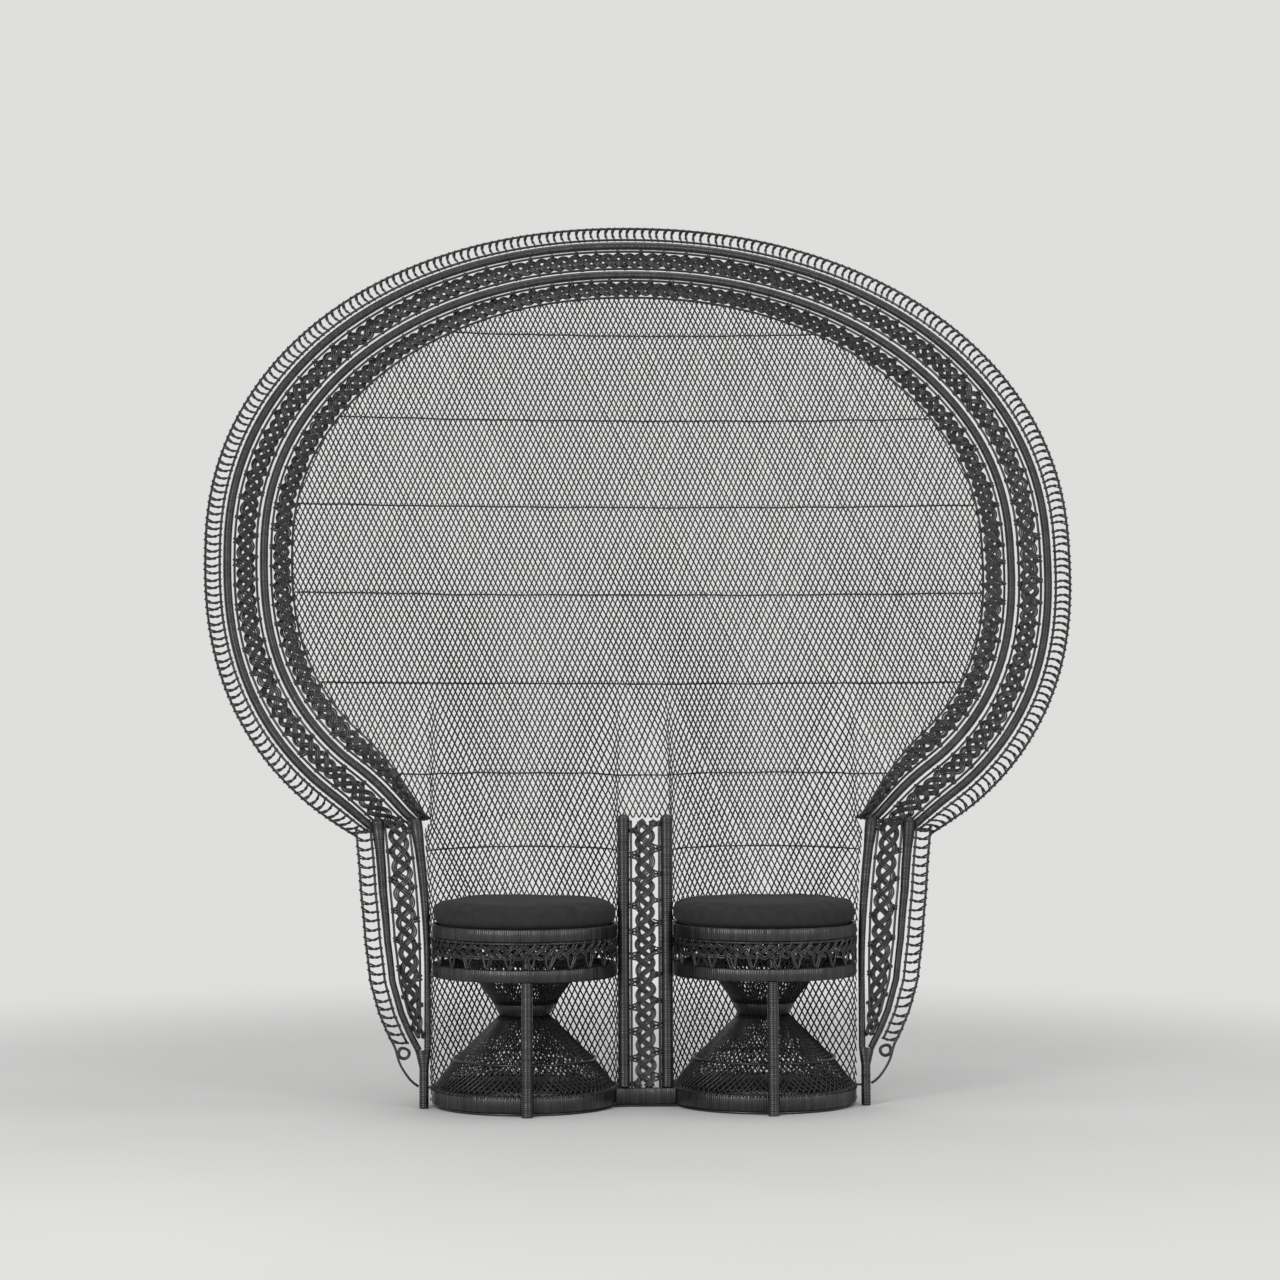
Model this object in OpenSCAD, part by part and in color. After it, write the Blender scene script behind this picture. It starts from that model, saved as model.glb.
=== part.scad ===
// Two-seat peacock chair: wrapped rattan hoops and posts, a woven fan back and two loose round cushions.
// +X is to the right and +Y to the back as seen from the front, +Z is up, and the floor is at Z = 0.
// The origin lies on the floor under the centre of the chair's outer box.

/* [Seats] */
// Gap between the two seats, where the column stands
seat_gap = 125; // [115:1:150]
// Outer diameter of the seat hoops, the base rings and the floor rings
seat_d = 427; // [400:1:428]
// Height of the top of the upper seat hoop
seat_z = 418; // [390:1:450]
// Height of the wrapped face of a seat hoop
hoop_h = 30; // [20:1:36]
// Radial thickness of a seat hoop or base ring
hoop_t = 14; // [10:1:20]
// Height of the open braid between the two seat hoops
seat_braid_h = 55; // [40:1:70]
// Thickness of the woven seat deck
deck_t = 10; // [6:1:14]
// Depth of the deck below the top of the upper hoop
deck_drop = 6; // [2:1:10]

/* [Cushions] */
// How far a cushion's side stays inside the outer face of the seat hoop
cushion_inset = 4.5; // [3:0.5:12]
// Thickness of a cushion at its crown
cushion_h = 56; // [40:1:70]
// How far a cushion's top falls from its crown to its shoulder
cushion_crown = 8; // [4:1:14]
// Gap between a cushion's flat underside and the inner face of the upper hoop
cushion_tuck = 5; // [2:1:12]

/* [Pedestals] */
// Height of the wrapped face of a base ring
base_h = 38; // [30:1:50]
// Diameter of the rod that each base ring stands on
floor_rod_d = 7; // [5:0.5:10]
// Outer diameter of the waist ring at its top
waist_d = 145; // [120:1:170]
// How much narrower the waist ring is at its bottom
waist_taper = 28; // [10:1:36]
// Height of the waist ring's lower edge
waist_z = 207; // [190:1:220]
// Height of the waist ring
waist_h = 27; // [20:1:34]
// Radial thickness of the waist ring
waist_t = 12; // [8:1:16]
// Diameter of the lower cone where its middle hoop sits
knee_d = 325; // [300:1:350]
// Height of the lower cone's middle hoop
knee_z = 105; // [90:1:130]
// Thickness of the woven walls of the pedestals, measured along the radius
cone_t = 6; // [4:0.5:8]
// Diameter of a front leg
leg_d = 26; // [20:1:30]
// Diameter of the stub that carries the upper hoop above the leg
leg_stub_d = 20; // [14:1:24]

/* [Column] */
// Diameter of a column post
column_post_d = 28; // [22:1:28]
// Gap between a column post and the upper seat hoop beside it
column_gap = 0.6; // [0.5:0.1:8]
// Height of the column's top
column_z = 667; // [640:1:690]

/* [Arms] */
// Height at which the arms end and the fan's rim begins
arm_z = 655; // [630:5:680]
// Gap between a seat hoop and the arm's inner post
arm_gap = 1; // [0.5:0.5:8]
// How far the arm's inner post flares outwards at its top
arm_flare = 28; // [10:1:40]
// Distance between the centres of an arm's two posts at the top
arm_spread = 88; // [84:1:110]
// Diameter of the arm posts at the top
arm_post_top_d = 24; // [18:1:26]
// Diameter of the arm posts at their lower half
arm_post_d = 16; // [12:1:18]
// Diameter of an arm's foot
foot_d = 22; // [18:1:26]
// Height of the wrapped foot, where both posts meet
foot_h = 131; // [120:1:140]
// Rake of the arms and the column, in millimetres back per metre of height
rake = 70; // [40:1:75]
// Distance of the feet in front of the seats' centre line
foot_forward = 55; // [52:1:70]
// How far the arms' tops bend back to meet the rim
elbow_back = 16; // [8:1:20]

/* [Fan] */
// Width of the fan over the centres of its outermost rod
fan_w = 2032; // [1900:10:2120]
// Height of the centre of the outermost rod at the top
fan_top_z = 2083; // [1990:10:2150]
// Height at which the fan is widest
fan_mid_z = 1283; // [1230:10:1330]
// Distance of the fan's top behind the seats' centre line
fan_top_y = 500; // [430:10:560]
// How far forward of its middle the fan reaches at its widest
fan_cup = 135; // [100:5:170]
// Diameter of the wrapped rim hoops
rim_hoop_d = 20; // [16:1:22]
// Diameter of the thin rods
rod_d = 5.5; // [4:0.5:7]
// How far below the arms' tops the back still follows the seats' round shape
lobe_drop = 15; // [5:1:30]
// How far above the fan's widest height that round shape has faded out
merge_rise = 67; // [20:1:150]
// How far below the arms' tops the fan's outermost rod ends
rim_drop = 36; // [24:2:48]
// Distance from the outermost rod to the second rod
fringe_w = 33; // [28:1:40]
// Distance from a wrapped hoop's centre to the thin rods beside it
rod_gap = 17; // [15:0.5:18]
// Width of the outer braid between its rods
outer_braid_w = 50; // [42:1:56]
// Width of the inner braid between its rods
inner_braid_w = 48; // [40:1:54]
// Thickness of the braids, the fringe and the woven sheets
weave_t = 4; // [3:0.5:5]
// Height of the lowest row of twined weavers on the fan
weaver_z = 760; // [720:5:800]
// Height between two rows of twined weavers
weaver_pitch = 211; // [180:1:230]

/* [Hidden] */
left = -1;
right = 1;

// Clearance between a woven sheet and what it is laid round
fit = 0.3;
// Clearance between faces that only meet
touch = 0.1;
// How deep the floor rods are worn flat
floor_flat = 0.4;
rod_r = rod_d / 2;
lacquer = [0.09, 0.085, 0.085];
cane = [0.13, 0.125, 0.125];
fabric = [0.2, 0.19, 0.19];

// Heights, from the floor up
base_z = floor_rod_d - floor_flat;
base_top_z = base_z + base_h;
upper_hoop_z = seat_z - hoop_h;
seat_braid_top_z = upper_hoop_z - rod_d;
lower_hoop_top_z = seat_braid_top_z - seat_braid_h;
lower_hoop_z = lower_hoop_top_z - hoop_h;
deck_z = seat_z - deck_drop - deck_t;
waist_top_z = waist_z + waist_h;

// Radii and places in plan; the seats' centre line is at y = seat_y
seat_r = seat_d / 2;
seat_x = (seat_d + seat_gap) / 2;
seat_edge_x = seat_x + seat_r;
ring_inner_r = seat_r - hoop_t;
lobe_r = seat_r + fit + weave_t / 2;
leg_clear = leg_d / 2 + fit;
// How far behind its foot's centre line a front leg's top stands
leg_top_back = 23;
leg_run = lower_hoop_z - base_top_z;
leg_tilt = atan((leg_top_back - fit) / leg_run);
leg_foot_y = seat_r + leg_clear / cos(leg_tilt) + base_top_z * tan(leg_tilt);
leg_front_y = leg_foot_y + leg_d / 2 / cos(leg_tilt);
seat_y = (leg_front_y - fan_top_y - rod_r) / 2;

function clamp01(t) = min(1, max(0, t));
function smooth(t) = let (u = clamp01(t)) u * u * (3 - 2 * u);
function mix(a, b, t) = a + (b - a) * t;
function unit(v) = v / norm(v);

// Depth of the leaning arms and column at a height, without and with the bend at the arms' tops
lean_angle = atan(rake / 1000);
elbow_h = 45;
function lean_y(z) = seat_y - foot_forward + rake / 1000 * z;
function arm_y(z) = lean_y(z) + elbow_back * pow(clamp01((z - arm_z + elbow_h) / elbow_h), 2);

// The column posts stand clear of the upper seat hoops where they pass their tops
hoop_side = sqrt(pow(seat_r, 2) - pow(lean_y(seat_z) - seat_y, 2));
column_post_x = seat_x - hoop_side - column_gap - column_post_d / 2;

// Centre lines of the arm's posts and rods, as distances from the chair's middle
post_r_low = arm_post_d / 2;
post_r_top = arm_post_top_d / 2;
inner_post_low_x = seat_edge_x + post_r_low + arm_gap;
arm_waist_z = 0.45 * arm_z;
foot_x = inner_post_low_x + post_r_low;
spread_shape = [[0.2, 0.23], [0.26, 0.46], [0.33, 0.68], [0.44, 0.91], [0.58, 1.02], [0.75, 1.06], [1, 1]];
function inner_post_x(z) = inner_post_low_x + arm_flare * pow(clamp01((z - arm_waist_z) / (arm_z - arm_waist_z)), 2);
function outer_post_x(z) = inner_post_x(z) + arm_spread * lookup(z / arm_z, spread_shape);
function outer_rod_x(z) = outer_post_x(z) + fringe_w + rod_gap;
function post_r(z) = mix(post_r_low, post_r_top, smooth((z - arm_waist_z) / (arm_z - arm_waist_z)));
// Level distance from a member's centre line to what lies the given distance clear of it
function clear_of(line_x, reach, z) = reach * norm([line_x(z + 1) - line_x(z - 1), 2]) / 2;

// Outline of the fan: the outermost rod, from one arm (q = -1) over the top (q = 0) to the other (q = 1)
fan_half_w = fan_w / 2;
top_power = 2.11;
side_power = 2.36;
arm_end_x = outer_rod_x(arm_z);
arm_end_angle = acos(pow(arm_end_x / fan_half_w, side_power / 2));
side_h = (fan_mid_z - arm_z + rim_drop) / pow(sin(arm_end_angle), 2 / side_power);
top_h = fan_top_z - fan_mid_z;
function rim_outline(q) =
    let (a = 90 - abs(q) * (90 + arm_end_angle),
         power = a > 0 ? top_power : side_power,
         h = a > 0 ? top_h : -side_h)
    [sign(q) * fan_half_w * pow(abs(cos(a)), 2 / power), fan_mid_z + h * pow(abs(sin(a)), 2 / power)];

// Direction from the outermost rod towards the fan's middle, nearly level where the rim meets the arms
elbow_q = 0.93;
elbow_rise = 0.22;
outline_step = 0.01;
function near_arm(q) = smooth((abs(q) - elbow_q) / (1 - elbow_q));
function rim_inward(q) =
    let (t = rim_outline(q + outline_step) - rim_outline(q - outline_step),
         n = unit([t[1], -t[0]]))
    unit(mix(n, unit([-sign(q), elbow_rise]), near_arm(q)));

// The rim's members lie side by side; each has a distance from the outermost rod at the sides and at the arms
d_rod_2 = fringe_w;
d_outer_hoop = d_rod_2 + rod_gap;
d_rod_3 = d_outer_hoop + rod_gap;
d_rod_4 = d_rod_3 + outer_braid_w;
d_inner_hoop = d_rod_4 + rod_gap;
d_rod_5 = d_inner_hoop + rod_gap;
d_rod_6 = d_rod_5 + inner_braid_w;
arm_inner_hoop = d_outer_hoop + arm_spread;
arm_braid_grow = arm_inner_hoop - d_inner_hoop;
arm_rod_6 = arm_inner_hoop + 2 * rod_gap;
top_squeeze = 0.88;
function arm_distance(d) =
    norm([1, elbow_rise]) * (
        d <= d_rod_3 ? d :
        d <= d_rod_5 ? d + arm_braid_grow :
        mix(d_rod_5 + arm_braid_grow, arm_rod_6, (d - d_rod_5) / (d_rod_6 - d_rod_5)));
function rim_distance(d, q) = mix(d * mix(top_squeeze, 1, smooth(abs(q) / 0.45)), arm_distance(d), near_arm(q));

// Depth of the back: upright behind the seats, then leaning, and cupped forwards at its sides
lobe_z = arm_z - lobe_drop;
merge_z = fan_mid_z + merge_rise;
cup = fan_cup / pow(fan_half_w, 2);
function merged(z) = smooth((z - lobe_z) / (merge_z - lobe_z));
function back_y(x, z) =
    seat_y + lobe_r + (fan_top_y - lobe_r) * pow(max(0, (z - seat_z) / (fan_top_z - seat_z)), 2) - cup * x * x;
function rim_y(x, z) = mix(arm_y(min(z, arm_z)), back_y(x, z), merged(z));
function rim_inset(inset, q) = rim_outline(q) + inset * rim_inward(q);
// The rim's ends pass behind the arm posts; only the innermost rod, beside the posts, stays in line with the arms
rim_tuck = (post_r_top + rim_hoop_d / 2) / cos(180 / 8) + 5 * fit;
function rim_place(inset, q, forward) =
    let (p = rim_inset(inset, q),
         from = rim_distance(d_inner_hoop, q),
         to = rim_distance(d_rod_6, q),
         tuck = rim_tuck * near_arm(q) * clamp01((to - inset) / (to - from)))
    [p[0], rim_y(p[0], p[1]) + tuck - forward, p[1]];
function rim_point(d, q, forward) = rim_place(rim_distance(d, q), q, forward);
// How much wider a member is when it is measured along the inward direction
function rim_slant(d, q) =
    let (a = q - outline_step, b = q + outline_step,
         t = unit(rim_inset(rim_distance(d, b), b) - rim_inset(rim_distance(d, a), a)),
         n = rim_inward(q))
    1 / abs(t[0] * n[1] - t[1] * n[0]);

// The woven sheet: s runs along the two lobes behind the seats, and above them straight across the fan
lobe_end_y = arm_y(arm_z) - seat_y;
lobe_half_angle = acos(lobe_end_y / lobe_r);
ridge_half_w = seat_x - lobe_r * sin(lobe_half_angle);
lobe_arc = 2 * lobe_half_angle * PI / 180 * lobe_r;
sheet_end_s = ridge_half_w + lobe_arc;
sheet_end_x = seat_x + lobe_r * sin(lobe_half_angle);
stretch = sheet_end_x / sheet_end_s;
function lobe_point(s) =
    let (a = abs(s), turn = (a - ridge_half_w) / lobe_r * 180 / PI - lobe_half_angle)
    a < ridge_half_w ? [s, seat_y + lobe_end_y] :
    a > sheet_end_s ? [s * stretch, seat_y + lobe_end_y] :
    [sign(s) * (seat_x + lobe_r * sin(turn)), seat_y + lobe_r * cos(turn)];
function sheet_point(s, z) =
    let (low = lobe_point(s), x = s * stretch, p = mix(low, [x, back_y(x, z)], merged(z)))
    [p[0], p[1], z];
function sheet_normal(s, z) =
    unit(cross(sheet_point(s + 1, z) - sheet_point(s - 1, z), sheet_point(s, z + 1) - sheet_point(s, z - 1)));

// A closed solid between two grids of points, front and back
module sheet(front, back) {
    rows = len(front);
    cols = len(front[0]);
    half = rows * cols;
    function f(i, j) = i * cols + j;
    function b(i, j) = half + i * cols + j;
    faces = [
        for (i = [0:rows - 2], j = [0:cols - 2]) each [
            [f(i, j), f(i, j + 1), f(i + 1, j + 1)], [f(i, j), f(i + 1, j + 1), f(i + 1, j)],
            [b(i, j), b(i + 1, j + 1), b(i, j + 1)], [b(i, j), b(i + 1, j), b(i + 1, j + 1)]
        ],
        for (i = [0:rows - 2], j = [0, cols - 1])
            let (a = j == 0 ? i : i + 1, c = j == 0 ? i + 1 : i)
            each [[f(a, j), f(c, j), b(c, j)], [f(a, j), b(c, j), b(a, j)]],
        for (j = [0:cols - 2], i = [0, rows - 1])
            let (a = i == 0 ? j + 1 : j, c = i == 0 ? j : j + 1)
            each [[f(i, a), f(i, c), b(i, c)], [f(i, a), b(i, c), b(i, a)]]
    ];
    polyhedron([for (r = front) each r, for (r = back) each r], faces);
}

// A sheet with diamond openings inside a closed edge. Its grid has one line for each u and each z; two slanting
// bars cross at every second place of the grid, and share says how much of a cell's side is closed beside them.
module lattice(us, zs, share, place) {
    nu = len(us);
    nz = len(zs);
    corners = nu * nz;
    level_sides = (nu - 1) * nz;
    half = corners + level_sides + nu * (nz - 1);
    function corner(i, j) = i * nz + j;
    function level(i, j) = corners + i * nz + j;
    function upright(i, j) = corners + level_sides + i * (nz - 1) + j;
    function crossing(i, j) = (i + j) % 2 == 0;
    function closed_part(from, to, at_crossing) = at_crossing ? mix(from, to, share) : mix(to, from, share);
    function layer(side) = [
        for (i = [0:nu - 1], j = [0:nz - 1]) place(us[i], zs[j], side),
        for (i = [0:nu - 2], j = [0:nz - 1]) place(closed_part(us[i], us[i + 1], crossing(i, j)), zs[j], side),
        for (i = [0:nu - 1], j = [0:nz - 2]) place(us[i], closed_part(zs[j], zs[j + 1], crossing(i, j)), side)
    ];
    function open(i, j) = i > 0 && i < nu - 2 && j > 0 && j < nz - 2;
    function wall(a, b) = [[b, a, a + half], [b, a + half, b + half]];
    function opened(a, middle, b, at_crossing) = at_crossing ? wall(middle, b) : wall(a, middle);
    // A cell's outline runs up its left side, along its top, down its right side and back
    function outline(i, j) =
        let (a = corner(i, j), b = corner(i, j + 1), c = corner(i + 1, j + 1), d = corner(i + 1, j),
             left = upright(i, j), top = level(i, j + 1), right = upright(i + 1, j), bottom = level(i, j))
        open(i, j) ? (crossing(i, j) ? [a, left, top, c, right, bottom] : [b, top, right, d, bottom, left]) :
        open(i - 1, j) ? [left, b, c, d, a] :
        open(i, j + 1) ? [top, c, d, a, b] :
        open(i + 1, j) ? [right, d, a, b, c] :
        open(i, j - 1) ? [bottom, a, b, c, d] :
        [a, b, c, d];
    function walls(i, j) =
        let (a = corner(i, j), b = corner(i, j + 1), c = corner(i + 1, j + 1), d = corner(i + 1, j),
             left = upright(i, j), top = level(i, j + 1), right = upright(i + 1, j), bottom = level(i, j))
        open(i, j) ? (crossing(i, j) ? concat(wall(left, top), wall(right, bottom)) :
                                       concat(wall(top, right), wall(bottom, left))) :
        concat(i == 0 ? wall(a, b) : open(i - 1, j) ? opened(a, left, b, crossing(i, j)) : [],
               j == nz - 2 ? wall(b, c) : open(i, j + 1) ? opened(b, top, c, crossing(i, j + 1)) : [],
               i == nu - 2 ? wall(c, d) : open(i + 1, j) ? opened(c, right, d, !crossing(i + 1, j)) : [],
               j == 0 ? wall(d, a) : open(i, j - 1) ? opened(d, bottom, a, !crossing(i, j)) : []);
    faces = [
        for (i = [0:nu - 2], j = [0:nz - 2])
            let (p = outline(i, j))
            each concat([for (k = [1:len(p) - 2]) each [[p[0], p[k], p[k + 1]],
                                                        [p[0] + half, p[k + 1] + half, p[k] + half]]],
                        walls(i, j))
    ];
    polyhedron(concat(layer(1), layer(-1)), faces);
}

// A round tube along a path, with a radius for each point of it
module tube(path, radii, sides) {
    last = len(path) - 1;
    function along(i) = unit(path[min(last, i + 1)] - path[max(0, i - 1)]);
    function ring(i) =
        let (w = along(i), a = unit(cross(w, [0, 1, 0])), b = cross(w, a))
        [for (k = [0:sides - 1]) path[i] + radii[i] * (a * cos(360 * k / sides) + b * sin(360 * k / sides))];
    faces = [
        for (i = [0:last - 1], k = [0:sides - 1])
            let (a = i * sides + k, b = i * sides + (k + 1) % sides)
            each [[a, b + sides, b], [a, a + sides, b + sides]],
        for (k = [1:sides - 2]) each [[0, k, k + 1], [last * sides, last * sides + k + 1, last * sides + k]]
    ];
    polyhedron([for (i = [0:last]) each ring(i)], faces);
}

rim_steps = 32;
rim_crowding = 0.4;
rim_q = [
    for (k = [-rim_steps:rim_steps])
        let (t = abs(k) / rim_steps) sign(k) * t * (1 + rim_crowding * (1 - t))
];
rod_forward = weave_t / 2 + rod_r + fit;

module rim_rod(d, forward) {
    path = [for (q = rim_q) rim_point(d, q, forward)];
    color(lacquer) tube(path, [for (q = rim_q) rod_r], 6);
}

module rim_hoop(d) {
    path = [for (q = rim_q) rim_point(d, q, 0)];
    color(cane) tube(path, [for (q = rim_q) rim_hoop_d / 2], 8);
}

band_cols = 3;
module rim_band(d_out, gap_out, d_in, gap_in) {
    function layer(forward) = [
        for (q = rim_q)
            let (from = rim_distance(d_out, q) + gap_out * rim_slant(d_out, q),
                 to = rim_distance(d_in, q) - gap_in * rim_slant(d_in, q))
            [for (c = [0:band_cols]) rim_place(mix(from, to, c / band_cols), q, forward)]
    ];
    color(cane) sheet(layer(weave_t / 2), layer(-weave_t / 2));
}

rod_clear = rod_r + fit;
hoop_clear = rim_hoop_d / 2 + fit;

module fan_outer_rod() rim_rod(0, 0);
module fan_fringe() rim_band(0, rod_clear, d_outer_hoop, hoop_clear);
module fan_rod_2() rim_rod(d_rod_2, rod_forward);
module fan_outer_hoop() rim_hoop(d_outer_hoop);
module fan_rod_3() rim_rod(d_rod_3, rod_forward);
module fan_outer_braid() rim_band(d_outer_hoop, hoop_clear, d_inner_hoop, hoop_clear);
module fan_rod_4() rim_rod(d_rod_4, rod_forward);
module fan_inner_hoop() rim_hoop(d_inner_hoop);
module fan_rod_5() rim_rod(d_rod_5, rod_forward);
module fan_inner_braid() rim_band(d_inner_hoop, hoop_clear, d_rod_6, rod_clear);
module fan_rod_6() rim_rod(d_rod_6, 0);

// The field of the fan, within the innermost rod: a closed sheet up to the second row of weavers, and above it
// one with a plain grid of openings that stands for the fine mesh of the strands
field_cols = 40;
lobe_rows = 11;
fan_rows = 14;
fan_cols = 18;
fan_edge = 28;
bar_share = 0.36;
seam_z = weaver_z + weaver_pitch;
rod_6_edge = [
    for (k = [rim_steps:-1:0])
        let (q = rim_q[k + rim_steps],
             p = rim_inset(rim_distance(d_rod_6, q) + (rod_clear + fit) * rim_slant(d_rod_6, q), q))
        [p[1], p[0]]
];
fan_low_z = seam_z + fit;
fan_high_z = rod_6_edge[rim_steps][0];
// A point of the field's front (side = 1) or back (side = -1), with u from -1 at its left edge to 1
function field_point(u, z, side) =
    let (s = u * lookup(z, rod_6_edge) / stretch) sheet_point(s, z) + side * weave_t / 2 * sheet_normal(s, z);
module woven_lobes() {
    heights = [for (r = [0:lobe_rows]) mix(arm_z + touch, seam_z - fit, pow(r / lobe_rows, 1.4))];
    function layer(side) =
        [for (c = [0:field_cols]) [for (z = heights) field_point(2 * c / field_cols - 1, z, side)]];
    color(lacquer) sheet(layer(1), layer(-1));
}
module woven_fan() {
    edge = fan_edge / fan_half_w;
    us = concat([-1], [for (c = [0:fan_cols]) (2 * c / fan_cols - 1) * (1 - edge)], [1]);
    zs = concat([fan_low_z], [for (r = [0:fan_rows]) mix(fan_low_z + fan_edge, fan_high_z, sin(86 * r / fan_rows))]);
    color(lacquer) lattice(us, zs, bar_share, function (u, z, side) field_point(u, z, side));
}

// Twined rows that hold the strands of the back
weaver_r = 3;
weaver_steps = 24;
weaver_rows_up = floor((fan_top_z - d_rod_6 - outer_braid_w - weaver_z) / weaver_pitch);
module weaver_rows() {
    color(cane)
        for (k = [0:weaver_rows_up]) {
            z = weaver_z + k * weaver_pitch;
            end_s = (lookup(z, rod_6_edge) - 2 * weaver_r - rod_clear) / stretch;
            at = [for (i = [0:weaver_steps]) mix(-end_s, end_s, i / weaver_steps)];
            path = [for (s = at) sheet_point(s, z) - weave_t / 2 * sheet_normal(s, z)];
            tube(path, [for (s = at) weaver_r], 6);
        }
}

// Woven wall round the back half of a seat, from the base ring up to the arms' tops
module skirt(side) {
    wall_h = arm_z - base_z;
    color(lacquer)
        difference() {
            translate([side * seat_x, seat_y, base_z])
                difference() {
                    cylinder(h = wall_h, r = lobe_r + weave_t / 2, $fn = 96);
                    translate([0, 0, -1]) cylinder(h = wall_h + 2, r = lobe_r - weave_t / 2, $fn = 96);
                }
            translate([0, lean_y(0) + column_post_d / 2 + fit + elbow_back / 4, 0])
                rotate([-lean_angle, 0, 0])
                    translate([-fan_w / 2, -seat_d, -seat_d]) cube([fan_w, seat_d, 2 * arm_z + seat_d]);
        }
}

// Arms: every member follows the same leaning panel, from just above the foot to the elbow
arm_steps = 10;
// How far below the posts' tops an arm's outer rod and fringe end
fringe_drop = 16;
function arm_heights(low, drop = touch) = [for (k = [0:arm_steps]) mix(low, arm_z - drop, pow(k / arm_steps, 0.8))];

module arm_rod(offset, from_inner, low, forward) {
    heights = arm_heights(low);
    path = [for (z = heights) [(from_inner ? inner_post_x(z) : outer_post_x(z)) + offset, arm_y(z) - forward, z]];
    tube(path, [for (z = heights) rod_r], 6);
}

module arm_side(side) mirror([side < 0 ? 1 : 0, 0, 0]) children();

module arm_outer_rod(side) {
    low = 0.19 * arm_z;
    heights = arm_heights(low, fringe_drop);
    turn_x = outer_rod_x(low);
    tail = [[foot_x + foot_d / 2 + fit + 0.4 * rod_r, 0.4 * low], [mix(foot_x, turn_x, 0.5), 0.52 * low],
            [mix(foot_x, turn_x, 0.85), 0.78 * low]];
    path = concat([for (t = tail) [t[0], arm_y(t[1]), t[1]]], [for (z = heights) [outer_rod_x(z), arm_y(z), z]]);
    arm_side(side) color(lacquer) tube(path, [for (p = path) rod_r], 6);
}

module arm_band(side, low, drop, setback, out_x, in_x) {
    heights = arm_heights(low, drop);
    function layer(forward) =
        [for (z = heights) let (y = arm_y(z) + setback - forward) [[out_x(z), y, z], [in_x(z), y, z]]];
    front = layer(weave_t / 2);
    back = layer(-weave_t / 2);
    arm_side(side) color(cane) sheet(back, front);
}

module arm_fringe(side)
    arm_band(side, 0.21 * arm_z, fringe_drop, 5 * fit,
             function (z) outer_rod_x(z) - clear_of(function (h) outer_rod_x(h), rod_clear + fit, z),
             function (z) outer_post_x(z) + clear_of(function (h) outer_post_x(h), post_r(z) + fit, z));

module arm_braid(side)
    arm_band(side, 0.3 * arm_z, touch, 0,
             function (z) outer_post_x(z) - clear_of(function (h) outer_post_x(h), post_r(z) + fit, z),
             function (z) inner_post_x(z) + post_r(z) + fit);

module arm_thin_rods(side)
    arm_side(side) color(lacquer) {
        arm_rod(rod_gap, false, 0.23 * arm_z, rod_forward);
        arm_rod(-rod_gap, false, 0.31 * arm_z, rod_forward);
        arm_rod(rod_gap, true, 0.31 * arm_z, rod_forward);
    }

module arm_post(side, from_inner) {
    base = foot_h + touch;
    heights = arm_heights(base + post_r_low / 2);
    line = [for (z = heights) [from_inner ? inner_post_x(z) : outer_post_x(z), arm_y(z), z]];
    path = concat([[line[0][0], line[0][1], base]], line);
    arm_side(side) color(cane) tube(path, [for (p = path) post_r(p[2])], 8);
}

module arm_outer_post(side) arm_post(side, false);
module arm_inner_post(side) arm_post(side, true);

// Foot: both posts wrapped together, narrowing to one round foot, with a short link to the base ring
module foot(side) {
    neck_z = 0.7 * foot_h;
    grip_in = inner_post_x(foot_h) - post_r_low;
    grip_out = outer_post_x(foot_h) + post_r_low;
    corners = 12;
    function outline(z, cx, half_x, half_y) =
        [for (k = [0:corners]) [cx + half_x * cos(360 * k / corners), lean_y(z) + half_y * sin(360 * k / corners), z]];
    link_z = base_top_z + rod_r + touch;
    link_y = lean_y(link_z);
    ring_x = seat_x + sqrt(pow(seat_r - cone_t / 2, 2) - pow(link_y - seat_y, 2));
    arm_side(side) color(cane) {
        foot_wrap([
            outline(0, foot_x, foot_d / 2, foot_d / 2),
            outline(neck_z, foot_x, foot_d / 2, foot_d / 2),
            outline(foot_h, (grip_in + grip_out) / 2, (grip_out - grip_in) / 2, 1.1 * post_r_low)
        ]);
        translate([ring_x, link_y, link_z]) rotate([0, 90, 0]) cylinder(h = foot_x - ring_x, r = rod_r, $fn = 24);
    }
}

module foot_wrap(rings) {
    n = len(rings[0]) - 1;
    faces = [
        for (i = [0:len(rings) - 2], k = [0:n - 1])
            let (a = i * n + k, b = i * n + (k + 1) % n)
            each [[a, b + n, b], [a, a + n, b + n]],
        for (k = [1:n - 2]) each [[0, k, k + 1],
            [(len(rings) - 1) * n, (len(rings) - 1) * n + k + 1, (len(rings) - 1) * n + k]]
    ];
    polyhedron([for (r = rings) for (k = [0:n - 1]) r[k]], faces);
}

// Column between the seats, raked with the arms and standing on the base bar
module raked() translate([0, lean_y(0), 0]) rotate([-lean_angle, 0, 0]) children();
column_top = column_z / cos(lean_angle);

module column_part() {
    difference() {
        raked() children();
        translate([-seat_x, seat_y - seat_d, -seat_z]) cube([2 * seat_x, 2 * seat_d, seat_z + base_top_z + touch]);
    }
}

module column_post(side)
    color(cane) column_part() translate([side * column_post_x, 0, 0]) {
        cylinder(h = column_top - column_post_d / 2, d = column_post_d, $fn = 48);
        translate([0, 0, column_top - column_post_d / 2]) sphere(d = column_post_d, $fn = 48);
    }

column_clear_x = column_post_x - column_post_d / 2 - fit;
module column_braid()
    color(cane) column_part()
        translate([-column_clear_x, -weave_t / 2, 0])
            cube([2 * column_clear_x, weave_t, column_top - column_post_d / 2]);

module column_rods()
    color(lacquer) column_part()
        for (side = [left, right])
            translate([side * (column_clear_x - rod_r), -rod_forward, 0])
                cylinder(h = column_top - column_post_d / 2, d = rod_d, $fn = 24);

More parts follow.
